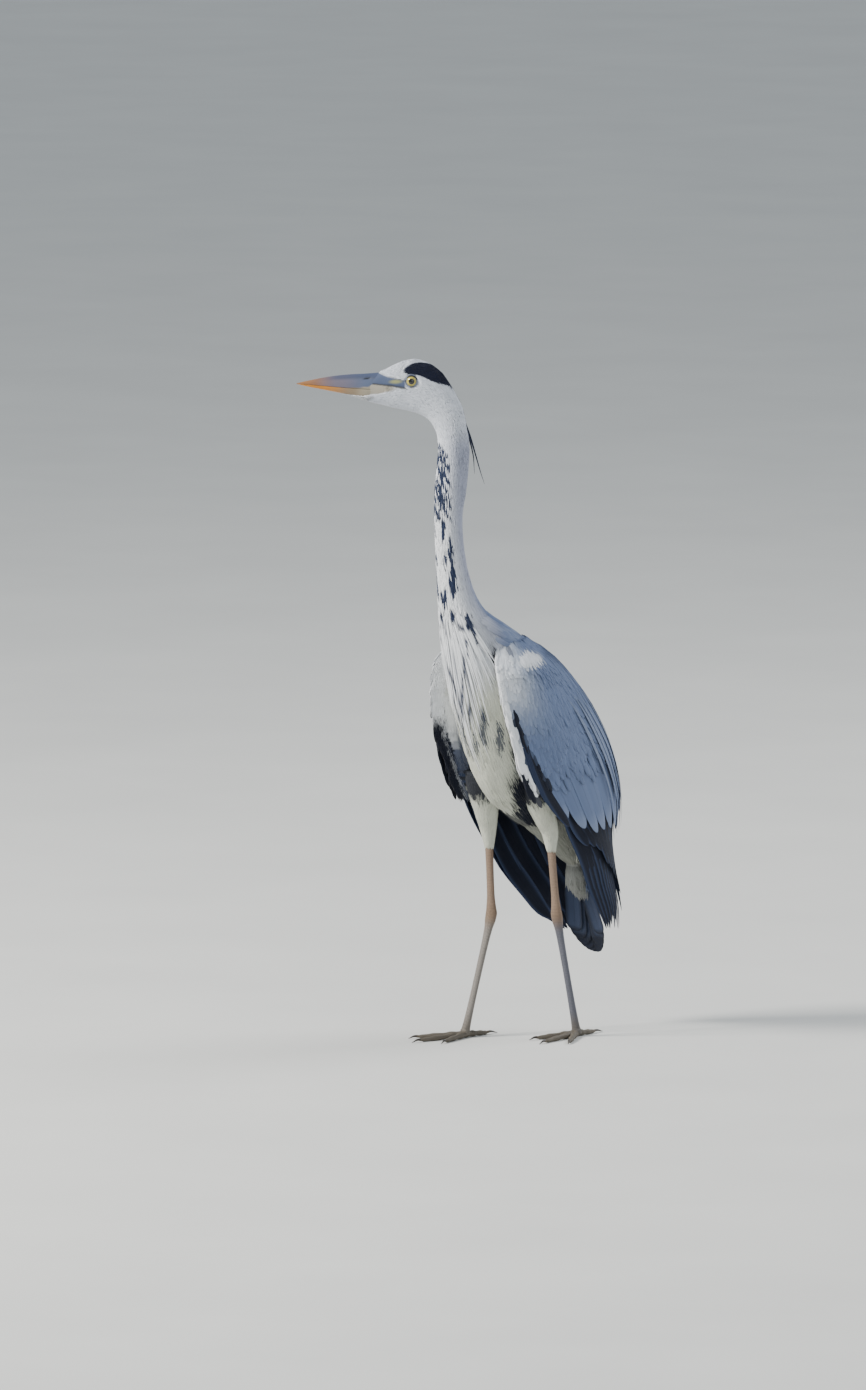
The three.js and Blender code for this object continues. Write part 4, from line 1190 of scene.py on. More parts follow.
def wingVanes(wing, row):
    form = wingRows[row]
    (root0, root1), (tip0, tip1) = np.array(form["roots"]), np.array(form["tips"])
    if form["rises"]:
        root0, tip0 = root0 + [0, wing.front], tip0 + [0, wing.front]
    random = np.random.default_rng(len(row))
    u = vaneSteps(17)
    made = []
    for k in range(form["count"]):
        share = k / (form["count"] - 1)
        root, reach = mix(root0, root1, share), mix(tip0, tip1, share)
        if "ends" in form:
            reach[0] = np.interp(reach[1], *form["ends"])
        reach[0] += random.uniform(-1, 1) * form.get("uneven", 0.012)
        stray = random.uniform(-1, 1, 2) * form.get("stray", 0) / form["count"]
        root[1], reach[1] = root[1] + stray[0] / 2, reach[1] + stray[1]
        along, across = mix(root[0], reach[0], u), mix(root[1], reach[1], u)
        half = form["wide"] * (mix(root1[1] - root0[1], tip1[1] - tip0[1], u) / (form["count"] - 1))
        wide = np.linalg.norm(wing.skin(along, across + half) - wing.skin(along, across - half), axis=1) / 2
        at, outward, _ = wing.frame(along, across)
        acrossWay = unit(wing.skin(along, across + 0.01) - wing.skin(along, across - 0.01))
        level = form["level"] + form["rises"] * layerRise(along, across) - 3 * np.clip(1 - u * 8, 0, 1)
        tilt = wingSpacing / np.maximum(wide / form["wide"], 2)
        made.append({
            "points": at + outward * level[:, None],
            "outward": unit(outward + acrossWay * tilt[:, None]),
            "half": np.minimum(wide, 17) * vaneWidth(u, 0.4, form["end"]),
            "along": u,
            "plumage": wingVaneColour(wing, row, along, across, u),
            "place": wing.chart(*root) + [0, 0.004 * list(wingRows).index(row)],
        })
    return made


def smallCovertPlan(along):
    grow = np.minimum(along, 0.3)
    return 16 + 50 * grow, 5.6 + 10 * grow, 3.6 + 5 * grow, 3.0 + 3.6 * grow


# the small coverts of the wrist and shoulder
def armCoat(wing):
    along, across = follicles(wing.skin, 0.004, 0.46, lambda u: smallCovertPlan(u)[2:], 21, (0.0, 0.99))
    ragged = 0.28 + 0.13 * np.random.default_rng(25).random(len(along))
    kept = along < np.where(across < 0.06 * np.clip((0.41 - along) / 0.1, 0, 1), 0.37, ragged)
    along, across = along[kept], across[kept]
    at, outward, lie = wing.frame(along, across)
    sunk = mix(2.2, 0.8, smooth(along / 0.13)) + 1.1 * gate((along - 0.2) / 0.1, (across - 0.07) / 0.03)
    size, colour = smallCovertPlan(along)[:2], wingColour(wing, along + 0.03, across)
    at, chart, name = at - outward * sunk[:, None], wing.chart(along, across), f"coatArm{wing.side}"
    return coat(name, at, (lie, outward), size, colour, chart, "contour", covertFeather, seed=22)


# the pale feathers that wrap the arm's front edge: how far in they reach, above and below, in 26 mm, how far
# along, and where their dark inner part lies and its paint: black on the left, and on the right slate as
# painted shade
armFaces = {
    "Left": {"above": 1.2, "below": -0.4, "along": 0.35, "begin": 0.0, "darkFrom": 0.5, "dark": "black"},
    "Right": {"above": 1.8, "below": 0.9, "along": 0.42, "begin": 0.34, "darkFrom": 0.3, "dark": "slate"},
}


def armFaceCoat(wing):
    def surface(along, deep):
        along, deep = np.broadcast_arrays(np.asarray(along, float), deep)
        drop = 6.2 * smooth((along - 0.27) / 0.07) + 2.0
        face = wing.point(along, np.maximum(0.0, -deep) * 0.1, -drop)
        front = unit(wing.skin(along, 0 * deep) - wing.skin(along, 0 * deep + 0.02))
        within = unit(inwardWay(face)) * (np.maximum(0, deep) * 26)[..., None]
        return face + within + front * (1 - np.abs(deep))[..., None]

    form = armFaces[wing.side]
    along, deep = follicles(surface, 0.01, form["along"], lambda u: (4.4, 3.2), 23, (-0.5, form["above"]))
    kept = deep < mix(form["above"], form["below"], smooth((along - 0.25) / 0.12))
    along, deep = along[kept], deep[kept]
    front = unit(wing.skin(along, 0 * deep) - wing.skin(along, 0 * deep + 0.05))
    ways = lieAndOutward(surface, along, deep, front + 0.3 * wing.frame(along, 0 * deep)[1])
    begin = form["begin"] * smooth((along - 0.18) / 0.04)
    colour = painted(
        wingColour(wing, along, 0.0 * deep),
        "white", smooth((deep + 0.05 - begin) / 0.16),
        # the inner part is painted dark: on the right a painted shade where the arm faces the body
        form["dark"], gate((deep - form["darkFrom"]) / 0.2, (along - 0.22) / 0.08) * 0.92,
    )
    chart = wing.chart(along, 0 * deep)
    chart[:, 0] = chart[:, 0] + 0.005 + 0.012 * deep
    size, at = (15 + 10 * along, 5.2 + 0 * along), surface(along, deep)
    return coat(f"coatEdge{wing.side}", at, ways, size, colour, chart, "wisp", softFeather, seed=24)


for wing in wings:
    coats += [armCoat(wing), armFaceCoat(wing)]
    for group, (material, *rows) in wingGroups.items():
        vanes = [vane for row in rows for vane in wingVanes(wing, row)]
        coats.append(vanePiece(f"{group}{wing.side}", vanes, material, seed=31))
print("heron: wings made")

# tail, rump and thighs
tailForm = {"count": 12, "half": 25, "vane": 29, "from": 0.12, "drop": 6.2, "steps": 15, "stepped": 0.24}


def tailVanes():
    form, made = tailForm, []
    u = vaneSteps(form["steps"])
    for k in range(form["count"]):
        spread = k / (form["count"] - 1) * 2 - 1
        outer = abs(spread)
        share = mix(form["from"], 1 - form["stepped"] * outer**2.2, u)
        side = spread * mix(9, form["half"], u)
        outward = unit(tailPoint(share, side, 2) - tailPoint(share, side, 0))
        made.append({
            "points": tailPoint(share, side, 0.5 - outer * form["drop"]),
            "outward": unit(outward + [np.sign(spread) * 0.12, 0, 0]),
            "half": form["vane"] / 2 * vaneWidth(u, 0.5, 0.84),
            "along": u,
            "plumage": painted("tail", "black", smooth((u - mix(0.72, 0.9, outer)) / 0.08) * 0.9),
            "place": (0.66 + 0.3 * (spread + 1) / 2, 0.30),
        })
    return made


def rumpCoat():
    share, angle = follicles(rumpPoint, -0.1, 0.44, lambda u: (3.2, 2.4), 41)
    kept = share < 0.46 - 0.3 * np.abs(np.sin(angle)) ** 1.5
    share, angle = share[kept], angle[kept]
    middle = rumpPoint(share, 0 * angle) * 0.5 + rumpPoint(share, 0 * angle + np.pi) * 0.5
    at = rumpPoint(share, angle, -1.6)
    ways = lieAndOutward(rumpPoint, share, angle, at - middle)
    size, colour = (28 + 12 * share, 4.2 + 0 * share), rumpColour(share, angle)
    chart = np.c_[0.66 + 0.3 * angle / (2 * np.pi), 0.32 + 0.07 * (share + 0.1)]
    loose = {"lift": 0.04, "scatter": 0.16}
    return coat("coatRump", at, ways, size, colour, chart, "wisp", softFeather, seed=42, **loose)


thighFeathers = table([
    [0, 24, 7, 5, 4], [0.5, 20, 5.5, 4.2, 3.4], [0.85, 14, 3.6, 3, 2.4], [1, 9, 2.6, 2.2, 1.9],
])


def thighCoat(leg, name, corner):
    surface = partial(thighPoint, leg)
    share, angle = follicles(surface, 0.05, 0.98, lambda u: thighFeathers(u)[2:], 43)
    at = surface(share, angle, -1.8 * (1 - share * 0.7))
    centre = (surface(share, angle) + surface(share, angle + np.pi)) / 2
    ways = lieAndOutward(surface, share, angle, at - centre)
    size, colour = thighFeathers(share)[:2], thighColour(leg, share)
    chart = np.c_[corner + 0.15 * angle / (2 * np.pi), 0.02 + 0.24 * share]
    return coat(name, at, ways, size, colour, chart, "wisp", softFeather, seed=44, scatter=0.1)


coats += [
    rumpCoat(), vanePiece("tailFeathers", tailVanes(), tailFeather, seed=45),
    thighCoat(legs["left"], "coatThighLeft", 0.64), thighCoat(legs["right"], "coatThighRight", 0.82),
]

# plumes
breastPlumes = {
    "count": 110, "spread": 1.0, "from": 9.7, "over": 1.3, "length": (4.4, 1.6), "half": 2.0, "dark": 0.18,
}
# long narrow feathers from the mantle that hang between the wings
mantlePlumes = [
    # those of the back, then those of the shoulders
    {"count": 76, "spread": 0.95, "from": 8.6, "over": 4.2, "length": (2.6, 4.6), "half": 3.4, "lift": 8.0},
    {"count": 130, "spread": 1.7, "from": 9.2, "over": 1.3, "length": (0.9, 1.5), "half": 4.6, "lift": 2.4},
]
plumeSteps = np.linspace(0, 1, 12)


def plumeVane(t, turn, lift, colour, half, end, start, angle):
    u = plumeSteps
    return {
        "points": bodyPoint(t, turn, lift - 3 * (u == 0)),
        "outward": unit(bodyPoint(t, turn, 5) - bodyPoint(t, turn)),
        "half": half * smooth(u * 4 + 0.3) * (1.02 - u) ** end,
        "along": u,
        "plumage": colour,
        "place": bodyChart(start, angle),
    }


def breastPlumeVanes():
    form, made, u = breastPlumes, [], plumeSteps
    random = np.random.default_rng(51)
    for k in range(form["count"]):
        share = k / (form["count"] - 1) * 2 - 1
        angle = np.pi - share * form["spread"] + random.uniform(-0.06, 0.06)
        length = mix(*form["length"], abs(share)) * random.uniform(0.72, 1.08)
        start = form["from"] - random.uniform(0, form["over"])
        t = start - u * length
        turn = angle - share * 0.12 * u + random.uniform(-0.05, 0.05) * u
        lift = random.uniform(-0.2, 1.0) * smooth(u * 3) + random.uniform(0, 2.5) * u**3
        dark = 0.7 * (random.random() < form["dark"])
        streak = gate((u - 0.12) / 0.1, (0.7 - u) / 0.25) * dark
        streak = np.maximum(streak, markShare(t, np.arctan2(np.sin(turn), -np.cos(turn))))
        half, colour = form["half"] * random.uniform(0.55, 1), painted("white", "streak", streak)
        made.append(plumeVane(t, turn, lift, colour, half, 0.6, start, angle))
    return made


def mantlePlumeVanes(form):
    made, u = [], plumeSteps
    random = np.random.default_rng(54)
    for k in range(form["count"]):
        share = k / (form["count"] - 1) * 2 - 1
        angle = share * form["spread"] + random.uniform(-0.05, 0.05)
        start = form["from"] - random.uniform(0, form["over"])
        t = start - u * random.uniform(*form["length"])
        turn = angle * (1 - 0.25 * u)
        lift = form["lift"] * smooth(u * 1.4) * mix(0.5, 1, abs(share)) * random.uniform(0.6, 1)
        colour = painted(
            plumage(t, turn),
            "mantle", 0.75 * smooth((8.9 - t) / 1.2),
            "back", random.uniform(0, 0.5) * smooth((8 - t) / 1.5),
            "pale", 0.2 * smooth((u - 0.5) / 0.4),
        )
        half = form["half"] * random.uniform(0.7, 1)
        made.append(plumeVane(t, turn, lift, colour, half, 0.5, start, angle % (2 * np.pi)))
    return made


crownPlumes = [
    {"side": 3.6, "half": 1.5,
     "path": [[17, 920], [5, 907.5], [-5, 892], [-13, 871],
              [-22.6, 845], [-30.5, 818], [-36.5, 797], [-42, 780]]},
    {"side": -3.6, "half": 1.3,
     "path": [[17, 919], [5, 906], [-5, 890], [-13, 868],
              [-20.5, 845], [-26.4, 820], [-27.6, 806], [-28.4, 793]]},
]


def crownPlumeVane(form):
    u = np.linspace(0, 1, 22)
    forward, height = through(form["path"], u * (len(form["path"]) - 1)).T
    outward = unit(inProfile(-0.5, 0.2, headTurn, 0.85) - inProfile(0, 0, headTurn))
    return {
        "points": inProfile(forward, height, headTurn, form["side"]),
        "outward": np.tile(outward, (len(u), 1)),
        "half": form["half"] * np.minimum(1, (1.04 - u) * 2.2),
        "along": u,
        "plumage": np.tile(paint["black"], (len(u), 1)),
        "place": (0.3, 0.72 + 0.004 * form["side"]),
    }


mantle = [vane for form in mantlePlumes for vane in mantlePlumeVanes(form)]
crown = [crownPlumeVane(form) for form in crownPlumes]
coats += [
    vanePiece("breastPlumes", breastPlumeVanes(), fineFeather, seed=52, thick=0.06, camber=0.2, shaft=0.0003),
    vanePiece("mantlePlumes", mantle, covertFeather, seed=55, thick=0.05, camber=0.2, shaft=0.0003),
    vanePiece("crownPlumes", crown, flightFeather, seed=53, thick=0.12, camber=0.2, shaft=0.0003),
]
print("heron: tail, thighs and plumes made")

# ends of the bill's outlines in the head's own plane, as [forward, height], with the half width
billSizes = {
    "culmen": [[93, 935.2], [103.2, 933.6], [120, 932.2], [140, 931.2],
               [160, 929.4], [180, 926.4], [200, 922.2], [216, 918.6]],
    "mouth": [[108, 909.5], [118.2, 911], [130, 911.8], [145.5, 912.8],
              [162, 914], [181, 915.4], [200, 916.8], [216, 918]],
    "under": [[117, 896.5], [127.6, 897.2], [137, 900.4], [150, 903.8],
              [166, 907.2], [183, 910.6], [200.6, 914], [214, 917.2]],
    "half": [[9.3], [9.6], [8.8], [7.8], [6.5], [5], [3.1], [0.7]],
    "mouthGap": 0.4, "rows": 136, "columns": 36,
    "nostril": [119, 925.8], "nostrilLong": 4.6, "nostrilTall": 0.8, "nostrilDeep": 1.7, "grooveDeep": 0.55,
}


def billColour(upper, f, z, share):
    tip = smooth((f - 158) / 48)
    pale = painted(tint(134, 116, 92), "ramus", smooth((140 - f) / 20) * 0.85)
    if not upper:
        return painted(pale, tint(192, 120, 22), smooth((f - 138) / 42))
    edge = np.interp(f, [100, 108, 116, 127, 150], [919.0, 917.2, 915.4, 913.8, 912.9])
    return painted(
        "billBase",
        tint(106, 98, 110), smooth((f - 118) / 40) * 0.9,
        tint(62, 70, 94), smooth((share - 0.5) / 0.3) * (1 - tip) * 0.75,
        pale, gate((edge - z) / 1.2 + 0.3, (156 - f) / 20),
        tint(142, 94, 44), tip * 0.9,
    )


def makeBill(upper):
    sizes = billSizes
    s = np.linspace(0, 1, sizes["rows"]) * (len(sizes["half"]) - 1)
    s, angle = fieldOf(s, np.linspace(0, 1, sizes["columns"]) * np.pi)
    mouth, far = through(sizes["mouth"], s), through(sizes["culmen" if upper else "under"], s)
    mouth[..., 1] += sizes["mouthGap"] / 2 * (1 if upper else -1)
    share = np.sin(angle)
    wide = through(sizes["half"], s)[..., 0] * np.cos(angle)
    f, z = np.moveaxis(mix(mouth, far, share[..., None]), -1, 0)
    colour = billColour(upper, f, z, share)
    if upper:
        groove = np.exp(-((z - 926.2 - 0.02 * (118 - f)) / 1.1) ** 2) * gate((f - 104) / 6, (168 - f) / 34)
        at, long, tall = sizes["nostril"], sizes["nostrilLong"], sizes["nostrilTall"]
        hole = np.exp(-((f - at[0]) / long) ** 4 - ((z - at[1] + 0.12 * (f - at[0])) / tall) ** 4)
        deep = sizes["grooveDeep"] * groove + sizes["nostrilDeep"] * hole
        wide = wide - np.sign(wide) * deep * (np.abs(wide) > 3)
        # the nasal groove and the nostril are painted darker, as painted shade in these recesses
        colour = painted(colour, tint(84, 88, 100), groove * 0.4, tint(34, 32, 34), hole * 0.95)
    name = "billUpper" if upper else "billLower"
    return dressed(gridObject(name, inProfile(f, z, headTurn, wide), colour, flip=upper), hornFinish)


hornFinish = groundMaterial("billHorn", roughness=0.42, streak=0.14, mottle=0.22, bump=0.12, coat=0.25)
billUpper, billLower = makeBill(True), makeBill(False)

# the white feathers that run forward under the lower mandible
chinForm = {"count": 1700, "from": 112, "reach": 42, "width": 1.4}


def chinCoat():
    random = np.random.default_rng(61)
    count, under = chinForm["count"], billSizes["under"]
    f = chinForm["from"] + chinForm["reach"] * random.random(count) ** 1.1
    angle = random.uniform(-1.0, 1.0, count) * mix(1.02, 0.35, smooth((f - 118) / 36))
    s = np.interp(f, [row[0] for row in under], np.arange(len(under)))
    mouth = through(billSizes["mouth"], s)[:, 1]
    z = mix(through(under, s)[:, 1], mouth, (1 - np.cos(angle)) * 0.9) + 0.5
    at = inProfile(f, z, headTurn, through(billSizes["half"], s)[:, 0] * np.sin(angle) * 0.98)
    lie = np.tile(unit(inProfile(-1, -0.22, headTurn) - inProfile(0, 0, headTurn)), (count, 1))
    away = at - inProfile(f, mouth, headTurn, 0.0)
    outward = unit(away - lie * np.sum(away * lie, axis=1)[:, None])
    # the chin takes the head's greyer white, partly painted shade, with some of the ramus's tan
    colour = painted("head", "ramus", np.full(count, 0.3))
    chart = np.c_[0.3 + 0.05 * angle, 0.985 + 0.0003 * (f - 130)]
    size = mix(9, 5.0, (f - chinForm["from"]) / chinForm["reach"]), np.full(count, chinForm["width"])
    loose = {"lift": 0.16, "scatter": 0.16}
    return coat("coatChin", at, (lie, outward), size, colour, chart, "tiny", fineFeather, seed=62, **loose)


coats.append(chinCoat())
print("heron: bill made")

# eyes and lids
eyeSizes = {
    "pupil": 4.1, "iris": 7.3, "cornea": 0.5, "rows": 90, "columns": 64,
    "lidRing": 7.85, "lidTube": 0.85, "lidOut": 4.3, "wrinkle": 0.015, "lidRows": 72, "lidColumns": 12,
}


# the eye's axis on one side of the head, and the way from it at each turn
def eyeWays(side, turn):
    axis = inProfile(0, 0, headTurn, side) - inProfile(0, 0, headTurn, 0)
    first = unit(np.cross(axis, [0, 0, 1.0]))
    return axis, np.cos(turn)[..., None] * first + np.sin(turn)[..., None] * np.cross(axis, first)


def makeEye(side, name):
    sizes = eyeSizes
    tilt, turn = fieldOf(np.radians(np.linspace(1.0, 179.0, sizes["rows"])), ringAngles(sizes["columns"]))
    axis, away = eyeWays(side, turn)
    radius = eyeRadius - sizes["cornea"] + sizes["cornea"] * np.exp(-((tilt / 0.75) ** 4))
    way = np.sin(tilt)[..., None] * away + np.cos(tilt)[..., None] * axis
    at = inProfile(eyeForward, eyeHeight, headTurn, side * eyeOut)
    piece = gridObject(name, at + radius[..., None] * way)
    setAttribute(piece.data, "ring", (eyeRadius * np.sin(np.minimum(tilt, np.pi / 2))).ravel())
    ray = np.stack([np.cos(turn) * 5, np.sin(turn) * 5, tilt * 2], -1)
    setAttribute(piece.data, "ray", ray.reshape(-1, 3))
    return dressed(piece, eyeFinish)


def eyeMaterial():
    s = Shader("heronEye", Roughness=0.06, Coat_Weight=1.0, Coat_Roughness=0.02, IOR=1.38)
    ring, sizes = s.attribute("ring", "Fac"), eyeSizes
    ray = s.noise(s.attribute("ray", "Vector"), 2.2, 3.0, 0.6)
    pupil = ring.ramp(sizes["pupil"] - 0.25, sizes["pupil"] + 0.15)
    rim = ring.ramp(sizes["iris"] - 0.7, sizes["iris"] + 0.2)
    inner = ring.ramp(sizes["pupil"], sizes["pupil"] + 1.3, 0.35, 0.0)
    iris = s.blend(ray.ramp(0.3, 0.75), tint(160, 146, 60), tint(190, 176, 92))
    iris = s.blend(rim, s.blend(inner, iris, tint(150, 128, 44)), tint(36, 34, 30))
    s.set("Base Color", s.blend(pupil, tint(8, 8, 10), iris))
    return s.material


def makeLids(side, name):
    sizes = eyeSizes
    turn, around = fieldOf(ringAngles(sizes["lidRows"]), ringAngles(sizes["lidColumns"]))
    axis, away = eyeWays(side, turn)
    tube = sizes["lidTube"] * (1 + sizes["wrinkle"] * np.sin(turn * 9))
    tube = tube * (1 + 0.25 * smooth(away[..., 2] * 1.4))
    ring = sizes["lidRing"] - 0.35 * smooth(away[..., 2] * 1.5) + tube * np.cos(around)
    rise = tube * np.sin(around) * 1.1 - 1.3 * np.abs(np.cos(turn)) ** 3
    seat = inProfile(eyeForward, eyeHeight, headTurn, side * (eyeOut + sizes["lidOut"]))
    colour = painted(tint(40, 45, 56), tint(120, 118, 84), smooth(-away[..., 2]) * 0.4)
    grid = seat + away * ring[..., None] + axis * rise[..., None]
    return dressed(gridObject(name, grid, colour, flip=True, torus=True), lidFinish)


eyeFinish = eyeMaterial()
eyes = {"left": makeEye(1, "eyeLeft"), "right": makeEye(-1, "eyeRight")}
lidFinish = groundMaterial("lidSkin", roughness=0.55, streak=0.2, mottle=0.3, bump=0.4, coat=0.1)
lids = [makeLids(1, "lidsLeft"), makeLids(-1, "lidsRight")]
print("heron: eyes made")

# legs and feet: rings as [share of the bone, fore-and-aft half width, sideways half width]
legSizes = {
    "shank": [[-0.1, 5.6, 6.4], [0.1, 5.3, 5.9], [0.4, 4.8, 5.6],
              [0.72, 4.9, 5.9], [0.9, 6.2, 7.4], [0.98, 7.2, 8.4]],
    "tarsus": [[0.05, 6.9, 8], [0.13, 5.2, 6.2], [0.3, 4.3, 5.2],
               [0.65, 4.1, 4.9], [0.9, 4.8, 5.4], [1.0, 5.7, 6.1]],
    "hub": [[4, 6.6, 7.2], [9, 6.2, 6.8]], "rows": 560, "columns": 36, "toeRows": 110, "toeColumns": 24,
    "scute": 4.4, "backScute": 3.2, "toeScute": 3.1, "groove": 0.22, "toeGroove": 0.30,
    "pads": [0, 0.2, 0.32, 0.42, 0.6, 0.7, 0.82, 1], "girth": [5.2, 4.3, 4.6, 3.8, 3.5, 4.0, 3.2, 2.3],
}
legPaint = {
    # grey is the bare leg's colour by side, the right one paler: partly its own tone, partly a painted
    # highlight of sunlight
    "tan": tint(128, 107, 90), "grey": {1: tint(90, 91, 100), -1: tint(124, 118, 112)},
    "joint": tint(116, 93, 70), "toe": tint(96, 89, 78),
    "claw": tint(52, 46, 42), "clawRoot": tint(120, 104, 84),
}


# rings round a path, their widths counted across it and up from it, and each ring's place along it
def tubeGrid(path, wide, tall, up, columns):
    along = unit(np.gradient(path, axis=0))
    across = unit(np.cross(along, up))
    rise = np.cross(across, along)
    run, angle = fieldOf(arcLength(path), ringAngles(columns))
    sideways = across[:, None] * (wide[:, None] * np.cos(angle))[..., None]
    ring = sideways + rise[:, None] * (tall[:, None] * np.sin(angle))[..., None]
    return path[:, None] + ring, unit(ring), run, angle


# grooves between plates of one height along a run
def plates(run, height, wave):
    off = (run / height + wave) % 1
    return np.exp(-((np.minimum(off, 1 - off) * height / 0.42) ** 2))


def makeLegSkin(leg, name):
    sizes = legSizes
    bare, ankle, foot = (legPoint(leg, joint) for joint in ("bare", "ankle", "foot"))
    rows = [(mix(bare, ankle, r[0]), r[1:]) for r in sizes["shank"]]
    rows += [(mix(ankle, foot, r[0]), r[1:]) for r in sizes["tarsus"]]
    rows += [(foot + unit(foot - ankle) * r[0], r[1:]) for r in sizes["hub"]]
    at = np.linspace(0, len(rows) - 1, sizes["rows"])
    path, size = through([r[0] for r in rows], at), through([r[1] for r in rows], at)
    grid, away, run, angle = tubeGrid(path, size[:, 0], size[:, 1], [1.0, 0, 0], sizes["columns"])
    height = grid[..., 2]
    front = smooth((np.cos(angle) - 0.05) / 0.35)
    back = smooth((-np.cos(angle) - 0.45) / 0.3) * 0.6
    groove = plates(run, sizes["scute"], 0.10 * np.cos(angle * 2)) * front
    groove = groove + plates(run, sizes["backScute"], 0.3 * np.sin(angle)) * back
    seam = np.exp(-((np.abs(np.cos(angle)) - 0.12) / 0.09) ** 2) * 0.7
    groove = np.maximum(groove, seam * (front < 0.6)) * smooth((height - 6) / 6)
    knob = np.exp(-(((height - ankle[2]) / 13) ** 2))
    bone = 0.5 * knob * np.cos(angle * 2) ** 2
    colour = painted(
        # the side's grey, on the right partly a painted highlight
        legPaint["grey"][leg["sign"]],
        legPaint["tan"], smooth((height - ankle[2] + 26) / 40),
        legPaint["joint"], knob * 0.6,
        legPaint["toe"], smooth((40 - height) / 30) * 0.7,
    )
    grid = grid + away * (bone - sizes["groove"] * groove)[..., None]
    grid[..., 2] = np.maximum(grid[..., 2], 0.0)
    shank = gridObject(name, grid, colour * (1 - 0.14 * groove)[..., None])
    return dressed(joinPieces(name, [shank] + [makeToe(leg, toe) for toe in toes]), legFinish)


# points along a toe or its claw, so many millimetres ahead of the foot's hub
def toePath(leg, toe, ahead, height):
    turn = np.radians(toe["turn"] + leg["toeTurn"])
    path = legPoint(leg, "foot") + np.array([leg["sign"] * np.sin(turn), -np.cos(turn), 0]) * ahead[:, None]
    path[:, 2] = height
    return path


def makeToe(leg, toe):
    sizes = legSizes
    rounding = 0.96 + 0.04 * np.sin(np.linspace(0.2, 1, 8) * np.pi / 2)
    share = np.concatenate([np.linspace(0, 0.96, sizes["toeRows"]), rounding])
    girth = np.interp(share, sizes["pads"], sizes["girth"]) + 0.25 * np.cos(share * 2 * np.pi * 3.2)
    girth = girth * np.sqrt(np.clip(1 - ((share - 0.93) / 0.071).clip(0, 1) ** 2, 0.03, 1))
    path = toePath(leg, toe, share * toe["length"], mix(toeHeight + 1.4, toeHeight - 0.6, share))
    grid, away, run, angle = tubeGrid(path, girth, girth * 0.96, [0, 0, 1.0], sizes["toeColumns"])
    top = smooth((np.sin(angle) + 0.1) / 0.5)
    groove = plates(run, sizes["toeScute"], 0.08 * np.cos(angle)) * top * (run > 7)
    grid = grid - away * (sizes["toeGroove"] * groove)[..., None]
    grid[..., 2] = np.maximum(grid[..., 2], 0.0)
    colour = legPaint["toe"] * (1 - 0.32 * groove)[..., None]
    tip = smooth((share - 0.9) / 0.1)[:, None] * 0.4 * top
    return gridObject("toe", grid, painted(colour, legPaint["claw"], tip))


def makeClaw(leg, toe, name):
    u = np.linspace(0, 1, 22)
    height = toeHeight - 0.5 + 0.96 * np.sin(np.pi * np.minimum(1, u * 1.25)) - 2.3 * u * u
    path = toePath(leg, toe, toe["length"] - 0.6 + u * (toe["claw"] + 1.2), height)
    grid, away, _, angle = tubeGrid(path, mix(1.9, 0.3, u**1.3), mix(2.1, 0.3, u**1.3), [0, 0, 1.0], 16)
    grid = grid - away * (0.25 * smooth((-np.sin(angle) - 0.3) / 0.5) * (1 - u)[:, None])[..., None]
    grid[..., 2] = np.maximum(grid[..., 2], 0.05)
    pale = (smooth((0.25 - u) / 0.25) * 0.6)[:, None] + 0 * angle
    return dressed(gridObject(name, grid, painted(legPaint["claw"], legPaint["clawRoot"], pale)), clawFinish)


legFinish = groundMaterial(
    "legScale", roughness=0.62, streak=0.14, mottle=0.25, bump=0.5, coat=0.05, stretch=0.7, cells=420.0
)
clawFinish = groundMaterial("clawHorn", roughness=0.45, streak=0.2, mottle=0.2, bump=0.15, coat=0.2)
legSkins = {side: makeLegSkin(leg, f"leg{side.capitalize()}") for side, leg in legs.items()}
claws = {
    (side, toe["name"]): makeClaw(leg, toe, f"claw{side.capitalize()}{toe['name'].capitalize()}")
    for side, leg in legs.items() for toe in toes
}
print("heron: legs made")

for shape in sum(shapes.values(), []):
    bpy.data.objects.remove(shape)

# what each piece stands for, looked up by name; the loop attaches each piece but keeps no slot
coatSlots = {
    "Chin": "head_feathers", "Face": "head_feathers", "Nape": "head_feathers", "crown": "head_feathers",
    "Neck": "neck_feathers", "breastPlumes": "neck_feathers", "Thigh": "thigh_feathers",
    "tail": "tail_feathers", "Rump": "tail_feathers", "Arm": "wing_feathers", "Edge": "wing_feathers",
    "flight": "wing_feathers", "covert": "wing_feathers",
}
for piece in coats:
    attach(piece, "root")
    next((slot for key, slot in coatSlots.items() if key in piece.name), "body_feathers")
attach(skin, "root")
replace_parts(skin, "torso", "neck_lower", "neck_middle", "neck_upper", "head", "thigh_left", "thigh_right")
named = {piece.name: piece for piece in coats}
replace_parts(named["tailFeathers"], "tail")
for side, sideName in (("left", "Left"), ("right", "Right")):
    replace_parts(named["covert" + sideName], f"wing_{side}")
    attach(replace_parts(eyes[side], f"eye_{side}"), "root")
    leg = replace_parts(legSkins[side], f"shank_{side}", f"tarsus_{side}", f"foot_{side}")
    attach(leg, "root")
for (side, toeName), claw in claws.items():
    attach(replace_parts(claw, f"claw_{side}_{toeName}"), "root")
for lid in lids:
    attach(lid, "root")
for bill, node in ((billUpper, "bill_upper"), (billLower, "bill_lower")):
    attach(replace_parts(bill, node), "root")

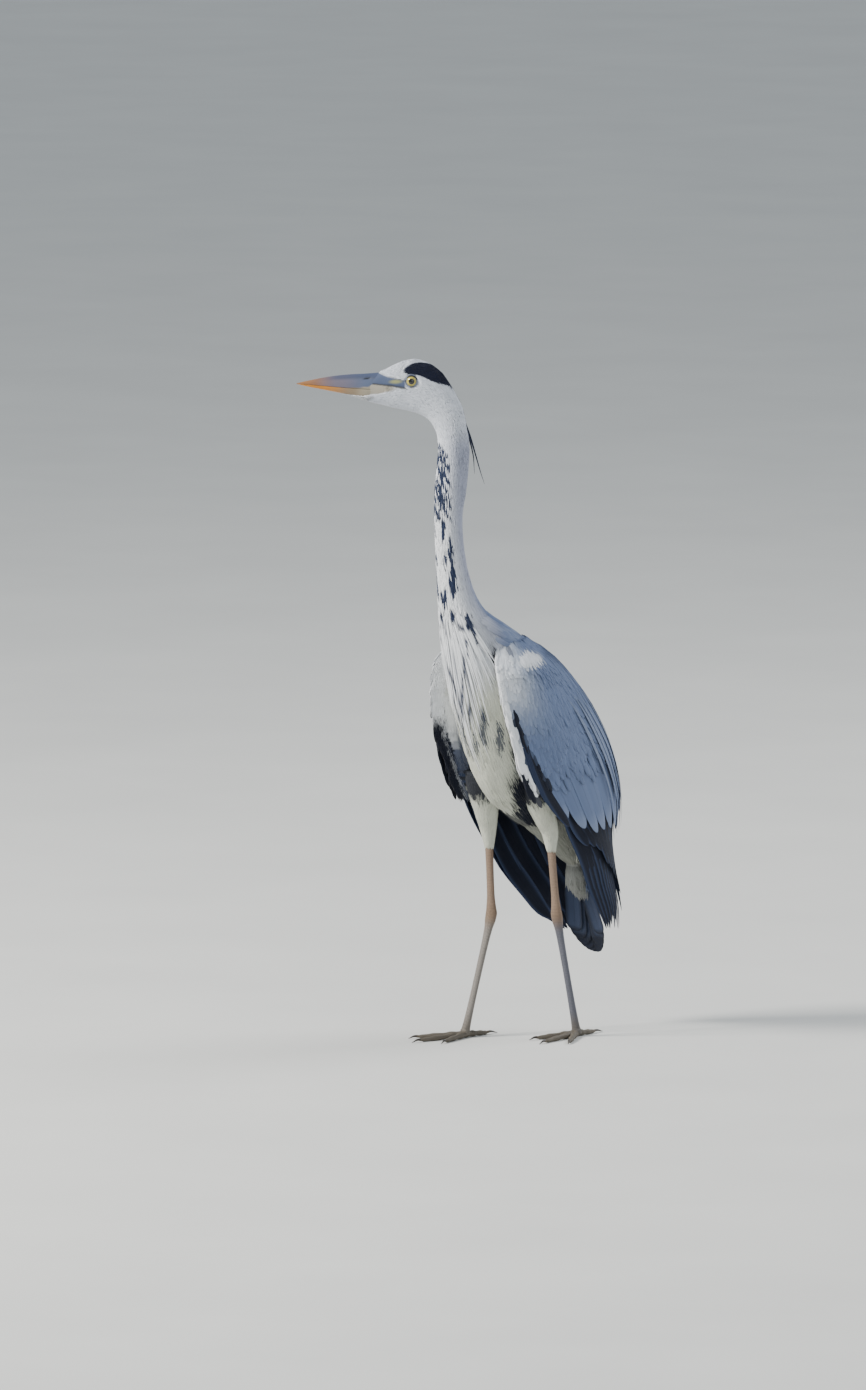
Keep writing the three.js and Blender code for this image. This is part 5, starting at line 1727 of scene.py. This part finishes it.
# floor, light and camera
studio = {
    "floor": tint(214, 214, 210), "world": (0.84, 0.92, 1.0), "worldStrength": 0.6,
    # name, place, power, size and colour
    "lamps": [["key", (-2.4, -4.6, 4.2), 700, 1.8, (1.0, 0.97, 0.92)],
              ["fill", (5.0, -2.0, 2.5), 60, 4.0, (0.92, 0.96, 1.0)],
              ["rim", (1.5, 4.5, 4.0), 200, 2.6, (1.0, 1.0, 1.0)]],
    "lens": 400, "sensor": 36, "frameTall": 1.924, "lookRight": -0.122, "lookUp": 0.473,
    "azimuth": 45, "elevation": 7,
}


def studioFloor():
    bpy.ops.mesh.primitive_plane_add(size=160)
    floor = bpy.context.object
    floor.name = floor.data.name = "studioFloor"
    s = Shader("paleFloor", Roughness=0.85)
    s.set("Base Color", s.blend(s.noise(s.place(), 3.0), studio["floor"], tint(200, 200, 197)))
    floor.data.materials.append(s.material)


def cameraAxes():
    around, above = math.radians(studio["azimuth"]), math.radians(studio["elevation"])
    back = Vector((math.sin(around) * math.cos(above), -math.cos(around) * math.cos(above), math.sin(above)))
    right = Vector((math.cos(around), math.sin(around), 0))
    return right, back.cross(right), back


def studioCamera():
    right, up, back = cameraAxes()
    data = bpy.data.cameras.new("studioCamera")
    data.lens, data.sensor_fit, data.sensor_height = studio["lens"], "VERTICAL", studio["sensor"]
    data.clip_end = 200
    target = Vector(shift.tolist()) + right * studio["lookRight"] + up * studio["lookUp"]
    camera = linked("studioCamera", data)
    camera.location = target + back * (studio["frameTall"] / studio["sensor"] * studio["lens"])
    camera.rotation_euler = Matrix((right, up, back)).transposed().to_euler()
    bpy.context.scene.camera = camera
    return target


def studioLight(target):
    for name, at, energy, size, colour in studio["lamps"]:
        lamp = bpy.data.lights.new(name, "AREA")
        lamp.energy, lamp.size, lamp.color = energy, size, colour
        holder = linked(name, lamp)
        holder.location = at
        holder.rotation_euler = (target - Vector(at)).to_track_quat("-Z", "Y").to_euler()
    world = bpy.data.worlds.new("studioWorld")
    world.use_nodes = True
    background = world.node_tree.nodes["Background"]
    background.inputs["Color"].default_value = (*studio["world"], 1)
    background.inputs["Strength"].default_value = studio["worldStrength"]
    bpy.context.scene.world = world


studioFloor()
studioLight(studioCamera())
print("heron: studio set")
